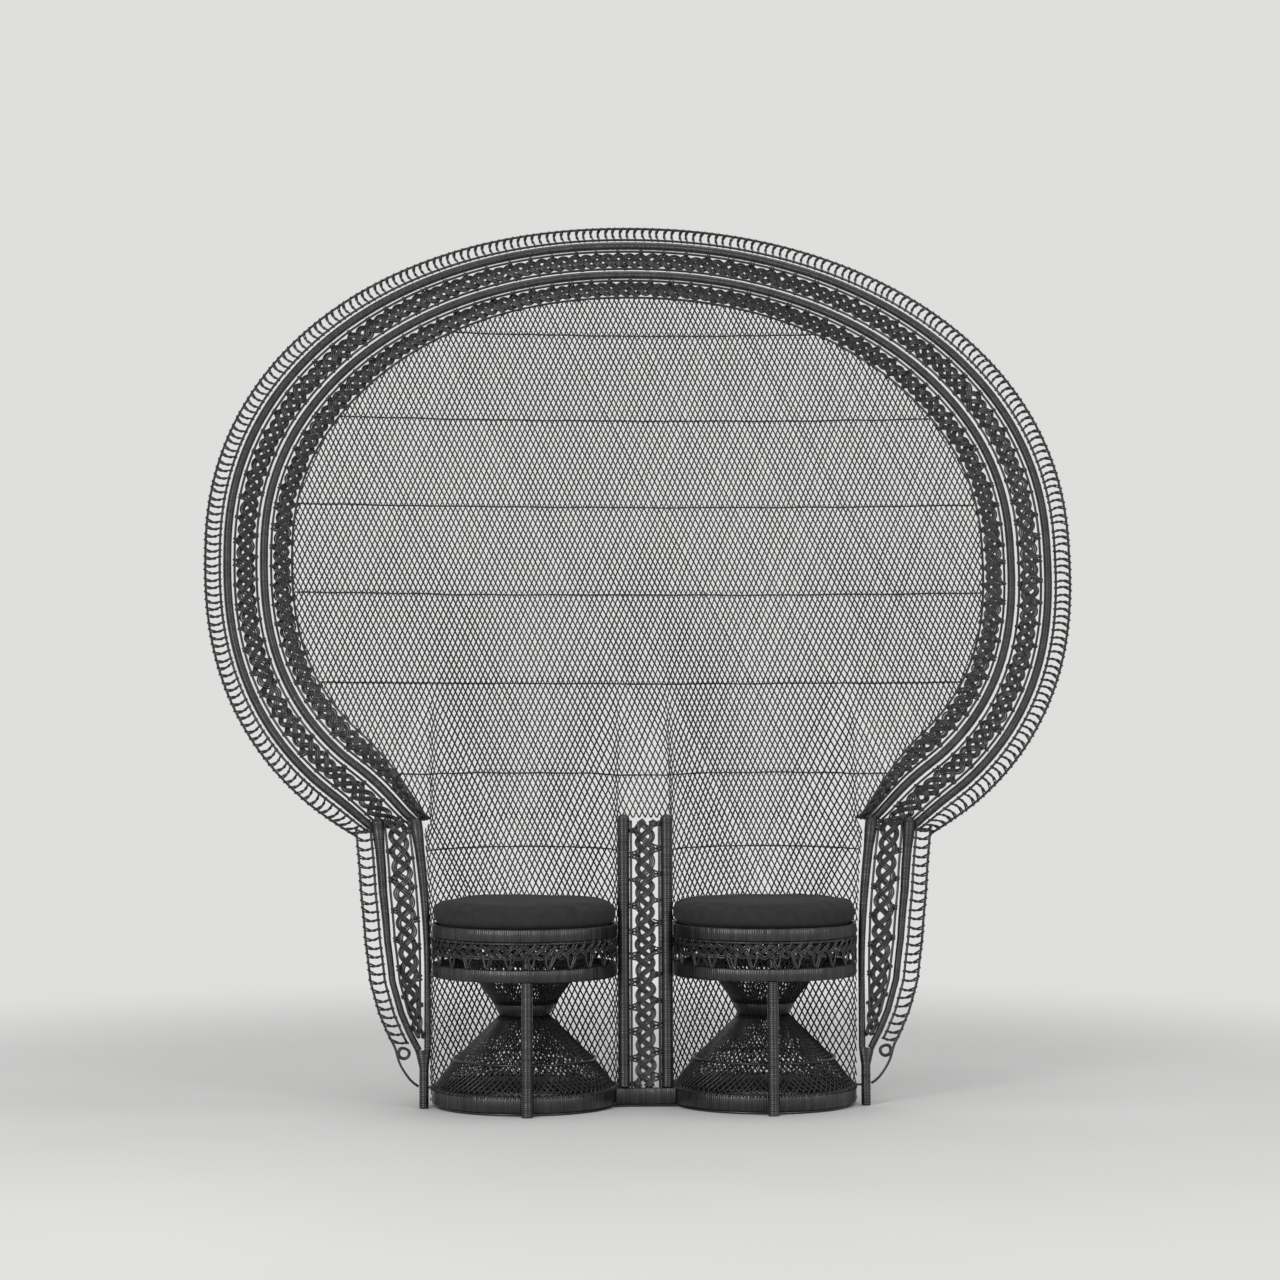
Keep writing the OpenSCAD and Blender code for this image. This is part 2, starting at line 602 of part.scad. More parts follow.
// Base bar joins the two base rings under the column
module base_bar() {
    bar_y = lean_y(base_top_z);
    color(cane)
        difference() {
            translate([-seat_x / 2, bar_y - hoop_t / 2, base_z]) cube([seat_x, hoop_t, base_h]);
            for (side = [left, right])
                translate([side * seat_x, seat_y, 0]) cylinder(h = base_top_z + 1, r = seat_r + touch, $fn = 96);
        }
}

module wrapped_profile(h, t) {
    round_r = 0.29 * t;
    translate([-t, round_r]) square([t, h - 2 * round_r]);
    translate([round_r - t, 0]) square([t - 2 * round_r, h]);
    for (x = [round_r - t, -round_r], z = [round_r, h - round_r])
        translate([x, z]) circle(r = round_r, $fn = 24);
}

module seat_ring(side, z, h)
    color(cane) translate([side * seat_x, seat_y, z])
        rotate_extrude($fn = 96) translate([seat_r, 0]) wrapped_profile(h, hoop_t);

module rod_ring(side, r, z)
    color(lacquer) translate([side * seat_x, seat_y, z])
        rotate_extrude($fn = 96) translate([r, 0]) circle(r = rod_r, $fn = 24);

// Rods on the floor: a ring under each base ring and a short one under the base bar, worn flat below
module floor_rods() {
    floor_r = floor_rod_d / 2;
    bar_y = lean_y(base_top_z);
    module section() intersection() {
        translate([0, floor_r - floor_flat]) circle(r = floor_r, $fn = 24);
        translate([-floor_r, 0]) square([floor_rod_d, floor_rod_d]);
    }
    color(lacquer) {
        for (side = [left, right])
            translate([side * seat_x, seat_y, 0])
                rotate_extrude($fn = 96) translate([seat_r - hoop_t / 2, 0]) section();
        difference() {
            translate([-seat_x / 2, bar_y, 0]) rotate([90, 0, 90]) linear_extrude(seat_x) section();
            for (side = [left, right])
                translate([side * seat_x, seat_y, -1])
                    cylinder(h = base_top_z, r = seat_r - hoop_t / 2 + floor_r + touch, $fn = 96);
        }
    }
}

module base_ring(side) seat_ring(side, base_z, base_h);
module seat_hoop_lower(side) seat_ring(side, lower_hoop_z, hoop_h);
module seat_hoop_upper(side) seat_ring(side, upper_hoop_z, hoop_h);
module seat_rod(side) rod_ring(side, seat_r - rod_r, upper_hoop_z - rod_r);

module seat_braid(side)
    color(cane) translate([side * seat_x, seat_y, lower_hoop_top_z])
        difference() {
            cylinder(h = seat_braid_h, r = seat_r - touch, $fn = 96);
            translate([0, 0, -1]) cylinder(h = seat_braid_h + 2, r = seat_r - weave_t, $fn = 96);
        }

module seat_deck(side)
    color(lacquer) translate([side * seat_x, seat_y, deck_z])
        cylinder(h = deck_t, r = ring_inner_r - touch, $fn = 96);

// Front leg: in front of the base ring, raked back to stand under the lower hoop, with a stub inside the braid
module front_leg(side) {
    stub_y = seat_y - seat_r + max(weave_t, rod_d) + fit + leg_stub_d / 2;
    color(cane) {
        difference() {
            translate([side * seat_x, seat_y - leg_foot_y, 0]) rotate([-leg_tilt, 0, 0])
                translate([0, 0, -leg_d]) cylinder(h = lower_hoop_z + 2 * leg_d, d = leg_d, $fn = 48);
            translate([side * seat_x - leg_d, seat_y - seat_d, -2 * leg_d]) cube([2 * leg_d, seat_d, 2 * leg_d]);
            translate([side * seat_x - leg_d, seat_y - seat_d, lower_hoop_z - touch])
                cube([2 * leg_d, seat_d, 3 * leg_d]);
        }
        translate([side * seat_x, stub_y, lower_hoop_top_z + touch])
            cylinder(h = upper_hoop_z - lower_hoop_top_z - 2 * touch, d = leg_stub_d, $fn = 48);
    }
}

// Hourglass pedestal: two woven cones that meet at a tapered waist ring
module turned(side, outer) {
    inner = [for (i = [len(outer) - 1:-1:0]) outer[i] - [cone_t, 0]];
    translate([side * seat_x, seat_y, 0]) rotate_extrude($fn = 96) polygon(concat(outer, inner));
}

module pedestal_lower(side)
    color(lacquer) turned(side, [
        [seat_r - hoop_t / 2 + cone_t / 2, base_top_z + touch],
        [knee_d / 2, knee_z],
        [waist_d / 2 - waist_taper / 2, waist_z - touch]
    ]);

module waist_ring(side) {
    low_r = (waist_d - waist_taper) / 2;
    color(cane) translate([side * seat_x, seat_y, 0]) rotate_extrude($fn = 96)
        polygon([[low_r, waist_z], [waist_d / 2, waist_top_z], [waist_d / 2 - waist_t, waist_top_z],
                 [low_r - waist_t, waist_z]]);
}

module pedestal_upper(side)
    color(lacquer) turned(side, [[waist_d / 2, waist_top_z + touch], [ring_inner_r - cone_t, deck_z - touch]]);

module knee_hoop(side) rod_ring(side, knee_d / 2 + 0.64 * rod_r, knee_z + rod_r);

// Cushion: it lies on the deck inside the hoop, with a full side and a crowned top above the hoop
module cushion(side) {
    cushion_r = seat_r - cushion_inset;
    side_r = (cushion_h - cushion_crown) / 2;
    side_depth = 0.6 * side_r;
    shoulder_x = cushion_r - 1.2 * side_r;
    color(fabric) translate([side * seat_x, seat_y, seat_z + fit])
        rotate_extrude($fn = 96) polygon(concat(
            [[0, -deck_drop], [ring_inner_r - cushion_tuck, -deck_drop]],
            [for (a = [-60:20:60]) [cushion_r - side_depth * (1 - cos(a)), side_r * (1 + 0.9 * sin(a))]],
            [[shoulder_x, 2 * side_r], [cushion_r / 2, cushion_h - cushion_crown / 5], [0, cushion_h]]));
}

fan_outer_rod();
fan_fringe();
fan_rod_2();
fan_outer_hoop();
fan_rod_3();
fan_outer_braid();
fan_rod_4();
fan_inner_hoop();
fan_rod_5();
fan_inner_braid();
fan_rod_6();
woven_lobes();
woven_fan();
weaver_rows();
skirt(left);  // skirt_left
skirt(right);  // skirt_right
arm_outer_rod(left);  // arm_outer_rod_left
arm_fringe(left);  // arm_fringe_left
arm_thin_rods(left);  // arm_thin_rods_left
arm_outer_post(left);  // arm_outer_post_left
arm_braid(left);  // arm_braid_left
arm_inner_post(left);  // arm_inner_post_left
foot(left);  // foot_left
arm_outer_rod(right);  // arm_outer_rod_right
arm_fringe(right);  // arm_fringe_right
arm_thin_rods(right);  // arm_thin_rods_right
arm_outer_post(right);  // arm_outer_post_right
arm_braid(right);  // arm_braid_right
arm_inner_post(right);  // arm_inner_post_right
foot(right);  // foot_right
column_post(left);  // column_post_left
column_post(right);  // column_post_right
column_rods();
column_braid();
base_bar();
floor_rods();
seat_hoop_upper(left);  // seat_hoop_upper_left
seat_rod(left);  // seat_rod_left
seat_braid(left);  // seat_braid_left
seat_hoop_lower(left);  // seat_hoop_lower_left
seat_deck(left);  // seat_deck_left
front_leg(left);  // front_leg_left
pedestal_upper(left);  // pedestal_upper_left
waist_ring(left);  // waist_ring_left
pedestal_lower(left);  // pedestal_lower_left
knee_hoop(left);  // knee_hoop_left
base_ring(left);  // base_ring_left
cushion(left);  // cushion_left
seat_hoop_upper(right);  // seat_hoop_upper_right
seat_rod(right);  // seat_rod_right
seat_braid(right);  // seat_braid_right
seat_hoop_lower(right);  // seat_hoop_lower_right
seat_deck(right);  // seat_deck_right
front_leg(right);  // front_leg_right
pedestal_upper(right);  // pedestal_upper_right
waist_ring(right);  // waist_ring_right
pedestal_lower(right);  // pedestal_lower_right
knee_hoop(right);  // knee_hoop_right
base_ring(right);  // base_ring_right
cushion(right);  // cushion_right
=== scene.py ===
"""Dresses the two-seat peacock chair: wrapped hoops and posts, plaited bands, the crossed strands of
the back and pedestals, and two loose round cushions. All sizes are in metres, in the part's own frame."""

import math

import bmesh
import bpy
import numpy as np
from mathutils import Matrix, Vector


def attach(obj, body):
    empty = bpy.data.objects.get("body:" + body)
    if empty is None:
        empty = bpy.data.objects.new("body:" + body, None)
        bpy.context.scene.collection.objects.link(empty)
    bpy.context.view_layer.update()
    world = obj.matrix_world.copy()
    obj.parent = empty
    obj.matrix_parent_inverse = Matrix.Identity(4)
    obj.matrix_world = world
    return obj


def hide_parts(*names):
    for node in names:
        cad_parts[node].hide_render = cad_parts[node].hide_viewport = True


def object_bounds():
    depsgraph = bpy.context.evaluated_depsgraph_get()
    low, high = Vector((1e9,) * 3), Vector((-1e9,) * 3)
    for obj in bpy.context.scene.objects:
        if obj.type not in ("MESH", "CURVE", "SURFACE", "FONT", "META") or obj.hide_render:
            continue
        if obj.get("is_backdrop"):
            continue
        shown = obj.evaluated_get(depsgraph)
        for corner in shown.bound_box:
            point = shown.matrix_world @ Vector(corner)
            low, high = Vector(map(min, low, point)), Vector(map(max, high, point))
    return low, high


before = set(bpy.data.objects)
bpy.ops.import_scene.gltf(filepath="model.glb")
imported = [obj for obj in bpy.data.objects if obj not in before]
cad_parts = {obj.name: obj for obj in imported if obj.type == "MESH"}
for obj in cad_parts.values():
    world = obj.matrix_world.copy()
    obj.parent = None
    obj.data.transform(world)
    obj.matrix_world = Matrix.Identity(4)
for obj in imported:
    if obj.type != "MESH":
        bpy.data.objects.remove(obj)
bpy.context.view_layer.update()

# Driving sizes of the part
SEAT_GAP = 0.125
SEAT_D = 0.427
SEAT_Z = 0.418
HOOP_H = 0.030
HOOP_T = 0.014
SEAT_BRAID_H = 0.055
DECK_T = 0.010
DECK_DROP = 0.006
CUSHION_INSET = 0.0045
CUSHION_H = 0.056
BASE_H = 0.038
FLOOR_ROD_D = 0.007
FLOOR_FLAT = 0.0004
WAIST_D = 0.145
WAIST_TAPER = 0.028
WAIST_Z = 0.207
WAIST_H = 0.027
WAIST_T = 0.012
KNEE_D = 0.325
KNEE_Z = 0.105
CONE_T = 0.006
LEG_D = 0.026
LEG_STUB_D = 0.020
LEG_TOP_BACK = 0.023
COLUMN_POST_D = 0.028
COLUMN_GAP = 0.0006
COLUMN_Z = 0.667
ARM_Z = 0.655
ARM_GAP = 0.001
ARM_FLARE = 0.028
ARM_SPREAD = 0.088
ARM_POST_TOP_D = 0.024
ARM_POST_D = 0.016
KNOB = 0.0026
FOOT_D = 0.022
FOOT_H = 0.131
RAKE = 0.070
FOOT_FORWARD = 0.055
ELBOW_BACK = 0.016
ELBOW_H = 0.045
FAN_W = 2.032
FAN_TOP_Z = 2.083
FAN_MID_Z = 1.283
FAN_TOP_Y = 0.500
FAN_CUP = 0.135
RIM_HOOP_D = 0.020
ROD_D = 0.0055
LOBE_DROP = 0.015
MERGE_RISE = 0.067
RIM_DROP = 0.036
FRINGE_DROP = 0.016
FRINGE_W = 0.033
ROD_GAP = 0.017
OUTER_BRAID_W = 0.050
INNER_BRAID_W = 0.048
WEAVE_T = 0.004
WEAVER_Z = 0.760
WEAVER_PITCH = 0.211
FIT = 0.0003
TOUCH = 0.0001
TOP_POWER = 2.11
SIDE_POWER = 2.36
TOP_SQUEEZE = 0.88
ELBOW_Q = 0.93
ELBOW_RISE = 0.22
SPREAD_AT = [0.2, 0.26, 0.33, 0.44, 0.58, 0.75, 1]
SPREAD_SHARE = [0.23, 0.46, 0.68, 0.91, 1.02, 1.06, 1]

# Heights and radii that follow from them
ROD_R = ROD_D / 2
BASE_Z = FLOOR_ROD_D - FLOOR_FLAT
BASE_TOP_Z = BASE_Z + BASE_H
UPPER_HOOP_Z = SEAT_Z - HOOP_H
LOWER_HOOP_TOP_Z = UPPER_HOOP_Z - ROD_D - SEAT_BRAID_H
LOWER_HOOP_Z = LOWER_HOOP_TOP_Z - HOOP_H
DECK_Z = SEAT_Z - DECK_DROP - DECK_T
WAIST_TOP_Z = WAIST_Z + WAIST_H
SEAT_R = SEAT_D / 2
SEAT_X = (SEAT_D + SEAT_GAP) / 2
RING_INNER_R = SEAT_R - HOOP_T
LOBE_R = SEAT_R + FIT + WEAVE_T / 2
LEG_TILT = math.atan((LEG_TOP_BACK - FIT) / (LOWER_HOOP_Z - BASE_TOP_Z))
LEG_FOOT_Y = SEAT_R + (LEG_D / 2 + FIT) / math.cos(LEG_TILT) + BASE_TOP_Z * math.tan(LEG_TILT)
SEAT_Y = (LEG_FOOT_Y + LEG_D / 2 / math.cos(LEG_TILT) - FAN_TOP_Y - ROD_R) / 2
FAN_HALF_W = FAN_W / 2
ROD_FORWARD = WEAVE_T / 2 + ROD_R + FIT
LEAN = math.atan(RAKE)

SIDES = ((-1, "_left"), (1, "_right"))

# Canes: half widths and half thicknesses
CANE_W = 0.0020
CANE_T = 0.0010
PLAIT_W = 0.0022
PLAIT_T = 0.0011
STRAND_W = 0.0016
STRAND_T = 0.0009
CONE_W = 0.0014
RIM_WRAP = 0.0044
POST_WRAP = 0.0050
HOOP_WRAP = 0.0052
GROOVE = 0.0008
SLANT = 0.22

# Plaits: length of a turn, which shows three strokes, and reach of the strokes to either side
OUTER_PLAIT = (0.081, 0.0146)
INNER_PLAIT = (0.072, 0.0136)
SEAT_PLAIT = (0.0755, 0.0123)
COLUMN_PLAIT = (0.084, 0.0173)
ARM_PLAIT = (0.093, 0.0169)
PLIES = (-0.0044, 0, 0.0044)
SEAT_PLIES = (-0.0024, 0.0024)
PLAIT_LIFT = 0.0023
TIE_SPREAD = 0.007
TIE_EDGE = 0.011
FRINGE_PITCH = 0.018
ARM_FRINGE_PITCH = 0.020

# Lower ends on the arms, as shares of their height
FRINGE_LOW = 0.17
OUTER_ROD_LOW = 0.19
THIN_ROD_LOW = 0.23
INNER_ROD_LOW = 0.31
BRAID_LOW = 0.243


seeded = np.random.default_rng


def smooth(t):
    t = np.clip(t, 0, 1)
    return t * t * (3 - 2 * t)


def mix(a, b, t):
    return a + (b - a) * t


def stacked(*parts):
    return np.stack(np.broadcast_arrays(*parts), -1)


def unit(v):
    return v / np.maximum(np.linalg.norm(v, axis=-1, keepdims=True), 1e-12)


def lean_y(z):
    return SEAT_Y - FOOT_FORWARD + RAKE * z


def arm_y(z):
    return lean_y(z) + ELBOW_BACK * np.clip((z - ARM_Z + ELBOW_H) / ELBOW_H, 0, 1) ** 2


HOOP_SIDE = math.sqrt(SEAT_R**2 - (lean_y(SEAT_Z) - SEAT_Y) ** 2)
COLUMN_POST_X = SEAT_X - HOOP_SIDE - COLUMN_GAP - COLUMN_POST_D / 2

POST_R_LOW = ARM_POST_D / 2
POST_R_TOP = ARM_POST_TOP_D / 2
INNER_POST_LOW_X = SEAT_X + SEAT_R + POST_R_LOW + ARM_GAP
ARM_WAIST_Z = 0.45 * ARM_Z
FOOT_X = INNER_POST_LOW_X + POST_R_LOW


def inner_post_x(z):
    return INNER_POST_LOW_X + ARM_FLARE * np.clip((z - ARM_WAIST_Z) / (ARM_Z - ARM_WAIST_Z), 0, 1) ** 2


def outer_post_x(z):
    return inner_post_x(z) + ARM_SPREAD * np.interp(z / ARM_Z, SPREAD_AT, SPREAD_SHARE)


def outer_rod_x(z):
    return outer_post_x(z) + FRINGE_W + ROD_GAP


def post_r(z):
    return mix(POST_R_LOW, POST_R_TOP, smooth((z - ARM_WAIST_Z) / (ARM_Z - ARM_WAIST_Z)))


ARM_END_X = float(outer_rod_x(ARM_Z))
ARM_END_ANGLE = math.degrees(math.acos((ARM_END_X / FAN_HALF_W) ** (SIDE_POWER / 2)))
SIDE_H = (FAN_MID_Z - ARM_Z + RIM_DROP) / math.sin(math.radians(ARM_END_ANGLE)) ** (2 / SIDE_POWER)
TOP_H = FAN_TOP_Z - FAN_MID_Z


def near_arm(q):
    return smooth((np.abs(q) - ELBOW_Q) / (1 - ELBOW_Q))


def rim_outline(q):
    """The outermost rod seen from the front, from the left arm (q = -1) over the top to the right one."""
    a = np.radians(90 - np.abs(q) * (90 + ARM_END_ANGLE))
    power = np.where(a > 0, TOP_POWER, SIDE_POWER)
    h = np.where(a > 0, TOP_H, -SIDE_H)
    x = np.sign(q) * FAN_HALF_W * np.abs(np.cos(a)) ** (2 / power)
    return stacked(x, FAN_MID_Z + h * np.abs(np.sin(a)) ** (2 / power))


def rim_inward(q):
    t = rim_outline(q + 0.01) - rim_outline(q - 0.01)
    n = unit(stacked(t[..., 1], -t[..., 0]))
    flat = unit(stacked(-np.sign(q), np.full_like(q, ELBOW_RISE)))
    return unit(mix(n, flat, near_arm(q)[..., None]))


# Distances of the rim's members from the outermost rod, at the sides and at the arms
D_ROD_2 = FRINGE_W
D_OUTER_HOOP = D_ROD_2 + ROD_GAP
D_ROD_3 = D_OUTER_HOOP + ROD_GAP
D_ROD_4 = D_ROD_3 + OUTER_BRAID_W
D_INNER_HOOP = D_ROD_4 + ROD_GAP
D_ROD_5 = D_INNER_HOOP + ROD_GAP
D_ROD_6 = D_ROD_5 + INNER_BRAID_W
ARM_INNER_HOOP = D_OUTER_HOOP + ARM_SPREAD
MEMBER_D = [0, D_ROD_2, D_OUTER_HOOP, D_ROD_3, D_ROD_4, D_INNER_HOOP, D_ROD_5, D_ROD_6]
GROWN = ARM_INNER_HOOP - D_INNER_HOOP
MEMBER_ARM_D = math.hypot(1, ELBOW_RISE) * np.array(
    [0, D_ROD_2, D_OUTER_HOOP, D_ROD_3, D_ROD_4 + GROWN, ARM_INNER_HOOP, D_ROD_5 + GROWN,
     ARM_INNER_HOOP + 2 * ROD_GAP])
# The rim's ends pass behind the arm posts; only the innermost rod stays in line with the arms
RIM_TUCK = (POST_R_TOP + RIM_HOOP_D / 2) / math.cos(math.pi / 8) + 5 * FIT


def rim_distance(d, q):
    side = d * mix(TOP_SQUEEZE, 1, smooth(np.abs(q) / 0.45))
    return mix(side, np.interp(d, MEMBER_D, MEMBER_ARM_D), near_arm(q))


LOBE_Z = ARM_Z - LOBE_DROP
MERGE_Z = FAN_MID_Z + MERGE_RISE
CUP = FAN_CUP / FAN_HALF_W**2


def merged(z):
    return smooth((z - LOBE_Z) / (MERGE_Z - LOBE_Z))


def back_y(x, z):
    rise = np.maximum(0, (z - SEAT_Z) / (FAN_TOP_Z - SEAT_Z))
    return SEAT_Y + LOBE_R + (FAN_TOP_Y - LOBE_R) * rise**2 - CUP * x * x


def rim_y(x, z):
    return mix(arm_y(np.minimum(z, ARM_Z)), back_y(x, z), merged(z))


def rim_at(d, q, forward):
    """A point of the rim at a real distance from the outermost rod."""
    d = np.asarray(d)
    p = rim_outline(q) + d[..., None] * rim_inward(q)
    start, end = rim_distance(D_INNER_HOOP, q), rim_distance(D_ROD_6, q)
    tuck = RIM_TUCK * near_arm(q) * np.clip((end - d) / (end - start), 0, 1)
    return stacked(p[..., 0], rim_y(p[..., 0], p[..., 1]) + tuck - forward, p[..., 1])


def rim_point(d, q, forward=0.0):
    return rim_at(rim_distance(d, q), q, forward)


LOBE_END_Y = float(arm_y(ARM_Z)) - SEAT_Y
LOBE_HALF_ANGLE = math.acos(LOBE_END_Y / LOBE_R)
RIDGE_HALF_W = SEAT_X - LOBE_R * math.sin(LOBE_HALF_ANGLE)
SHEET_END_S = RIDGE_HALF_W + 2 * LOBE_HALF_ANGLE * LOBE_R
SHEET_END_X = SEAT_X + LOBE_R * math.sin(LOBE_HALF_ANGLE)
STRETCH = SHEET_END_X / SHEET_END_S


def wall_flare(s, z):
    """How far the wall's outer end leans out, beside the flaring arm post."""
    end = smooth((np.abs(s) - SHEET_END_S + 0.12) / 0.12) * smooth((ARM_Z - z) / 0.03)
    return np.sign(s) * end * 0.55 * (inner_post_x(z) - INNER_POST_LOW_X)


def on_lobe(s):
    turn = (np.abs(s) - RIDGE_HALF_W) / LOBE_R - LOBE_HALF_ANGLE
    return np.sign(s) * (SEAT_X + LOBE_R * np.sin(turn)), SEAT_Y + LOBE_R * np.cos(turn)


def sheet_point(s, z):
    """The woven back: s runs along the two lobes behind the seats, and higher up straight across the fan."""
    x, y = on_lobe(s)
    ridge = np.abs(s) < RIDGE_HALF_W
    beyond = np.abs(s) > SHEET_END_S
    x = np.where(ridge, s, np.where(beyond, s * STRETCH, x)) + wall_flare(s, z)
    y = np.where(ridge | beyond, SEAT_Y + LOBE_END_Y, y)
    across = s * STRETCH
    level = merged(z)
    return stacked(mix(x, across, level), mix(y, back_y(across, z), level), z + 0 * s)


def sheet_normal(s, z):
    step = 0.001
    along = sheet_point(s + step, z) - sheet_point(s - step, z)
    up = sheet_point(s, z + step) - sheet_point(s, z - step)
    return unit(np.cross(along, up))


def new_object(name, data):
    piece = bpy.data.objects.new(name, data)
    bpy.context.scene.collection.objects.link(piece)
    return piece


class Strands:
    """Gathers swept tubes and canes, each with a tone for its colour, and turns them into one object."""

    def __init__(self):
        self.points, self.tones, self.faces, self.count = [], [], [], 0

    def add(self, points, tones, faces):
        points = points.reshape(-1, 3)
        self.faces += [f + self.count for f in faces]
        self.points.append(points)
        self.tones.append(np.broadcast_to(tones, points.shape[0]))
        self.count += len(points)

    def make(self, name, slot):
        mesh = bpy.data.meshes.new(name + "_cane")
        points = np.concatenate(self.points)
        points[:, 2] = np.maximum(points[:, 2], 0)
        mesh.vertices.add(len(points))
        mesh.vertices.foreach_set("co", points.astype(np.float32).ravel())
        corners = np.concatenate([f.ravel() for f in self.faces])
        sizes = np.concatenate([np.full(len(f), f.shape[1]) for f in self.faces])
        mesh.loops.add(len(corners))
        mesh.loops.foreach_set("vertex_index", corners.astype(np.int32))
        mesh.polygons.add(len(sizes))
        starts = np.concatenate([[0], np.cumsum(sizes)[:-1]])
        mesh.polygons.foreach_set("loop_start", starts.astype(np.int32))
        mesh.polygons.foreach_set("use_smooth", np.ones(len(sizes), bool))
        mesh.update(calc_edges=True)
        tone = mesh.attributes.new("tone", "FLOAT", "POINT")
        tone.data.foreach_set("value", np.concatenate(self.tones).astype(np.float32))
        mesh.materials.append(canes[slot])
        piece = new_object(name + "_cane", mesh)
        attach(piece, "root")
        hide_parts(name)


def tube_faces(count, rings, sides, closed):
    """Faces of tubes whose rings of corners follow each other, with caps on open ones."""
    grid = np.arange(count * rings * sides).reshape(count, rings, sides)
    a = grid if closed else grid[:, :-1]
    b = np.roll(grid, -1, 1) if closed else grid[:, 1:]
    walls = stacked(a, b, np.roll(b, -1, 2), np.roll(a, -1, 2)).reshape(-1, 4)
    return [walls] if closed else [walls, grid[:, 0], grid[:, -1, ::-1]]


def frames(paths, ups, closed=False, tangents=None):
    if tangents is None:
        around = np.roll(paths, -1, 1) - np.roll(paths, 1, 1)
        tangents = around if closed else np.gradient(paths, axis=1)
    along = unit(tangents)
    side = unit(np.cross(along, ups))
    return along, side, np.cross(side, along)


def sweep(strands, paths, ups, half_w, half_t, tones, sides=5, closed=False, tangents=None):
    """Flat canes or round rods along paths (count, points, 3); ups says where their broad face looks."""
    along, side, up = frames(paths, ups, closed, tangents)
    angle = 2 * np.pi * (np.arange(sides) + 0.5) / sides
    reach = 1 / math.cos(math.pi / sides)
    wide = reach * np.broadcast_to(half_w, paths.shape[:2])[..., None, None]
    thick = reach * np.broadcast_to(half_t, paths.shape[:2])[..., None, None]
    rings = (paths[:, :, None] + side[:, :, None] * wide * np.cos(angle)[:, None]
             + up[:, :, None] * thick * np.sin(angle)[:, None])
    tones = np.broadcast_to(np.asarray(tones).reshape(-1, 1), paths.shape[:2])
    strands.add(rings, np.repeat(tones.ravel(), sides), tube_faces(*paths.shape[:2], sides, closed))


def lengths(path):
    return np.concatenate([[0], np.cumsum(np.linalg.norm(np.diff(path, axis=0), axis=1))])


def at_lengths(path, values, u):
    return stacked(*(np.interp(u, path, column) for column in values.T))


def curve(points, count):
    """A smooth curve through a few points, any number of coordinates each."""
    p = np.asarray(points, float)
    p = np.concatenate([[2 * p[0] - p[1]], p, [2 * p[-1] - p[-2]]])
    t = np.linspace(0, len(p) - 3, count)
    k = np.minimum(t.astype(int), len(p) - 4)
    f = (t - k)[:, None]
    a, b, c, d = p[k], p[k + 1], p[k + 2], p[k + 3]
    square, cube = 2 * a - 5 * b + 4 * c - d, 3 * b - a - 3 * c + d
    return 0.5 * (2 * b + (c - a) * f + square * f**2 + cube * f**3)


def full_turn(count, start=0.0):
    return np.linspace(start, start + 2 * np.pi, count, endpoint=False)


FRONT, UPWARD = np.array([0.0, -1, 0]), np.array([0.0, 0, 1])
ROUND = stacked(np.cos(full_turn(12)), np.sin(full_turn(12)))


def rounded_bar(height, thick, corner=0.29):
    """Corners and outward directions of a flat bar's section, with its broad faces on the second axis."""
    turn = np.radians([quarter + a for quarter in (0, 90, 180, 270) for a in (5, 45, 85)])
    outward = stacked(np.cos(turn), np.sin(turn))
    r = corner * thick
    return np.sign(outward) * (np.array([thick, height]) / 2 - r) + r * outward, outward


# Rings of one turn of wrapping: where they lie in it and how deep they sink
TURN_AT = np.array([0, 0.2, 0.5, 0.8])
TURN_SINK = np.array([1, 0.22, 0, 0.22])


def wrapped(strands, path, radius, pitch, rng, front, bar=None, closed=False, slant=SLANT):
    """A pole closely wrapped with cane. radius is a number, a list along the path, or a pair of them."""
    path = np.asarray(path, float)
    if closed:
        path = np.concatenate([path, path[:1]])
    run = lengths(path)
    turns = max(3, round(run[-1] / pitch))
    edges = np.linspace(0, run[-1], turns + 1)
    edges[1:-1] += rng.normal(0, 0.07 * pitch, turns - 1)
    at = (edges[:-1, None] + np.diff(edges)[:, None] * TURN_AT).ravel()
    sink = np.tile(TURN_SINK, turns) * np.repeat(rng.uniform(0.6, 1.25, turns), 4) * GROOVE
    patches = wander((edges[1:] + edges[:-1]) / 2, run[-1], rng, max(3, int(run[-1] / 0.05)))
    tone = np.repeat(np.clip(0.45 + 0.2 * patches + rng.normal(0, 0.25, turns), 0, 1), 4)
    lift = np.repeat(rng.normal(0, 0.00012, turns), 4) * np.tile([0, 1, 1, 1], turns)
    # Painted shade: the deepest ring of each turn, in the groove between turns, gets its tone cut to a fifth,
    # so the grooves show darker than their own shading makes them
    tone = tone * (1 - 0.8 * (np.tile(TURN_SINK, turns) == 1))
    if not closed:
        at, sink = np.append(at, run[-1]), np.append(sink, GROOVE)
        tone, lift = np.append(tone, tone[-1]), np.append(lift, 0)
    centre = at_lengths(run, path, at)
    if closed:
        tangent = np.gradient(np.concatenate([path[-2:-1], path, path[1:2]]), axis=0)[1:-1]
    else:
        tangent = np.gradient(path, axis=0)
    tangent = at_lengths(run, tangent, at)
    along, side, up = (v[:, None] for v in frames(centre, np.asarray(front, float), tangents=tangent))
    if bar is None:
        pair = radius if isinstance(radius, tuple) else (radius, radius)
        half = stacked(*(np.interp(at, run, np.broadcast_to(r, len(run))) for r in pair))
        corners, outward = half[:, None] * ROUND, ROUND
    else:
        corners, outward = bar[0], bar[1]
    offset = corners + outward * (lift - sink)[:, None, None]
    tilt = slant * pitch * ROUND[:, 1] if bar is None else np.zeros(len(outward))
    rings = centre[:, None] + side * offset[..., :1] + up * offset[..., 1:] + along * tilt[:, None]
    strands.add(rings, np.repeat(tone, len(outward)), tube_faces(1, len(at), len(outward), closed))


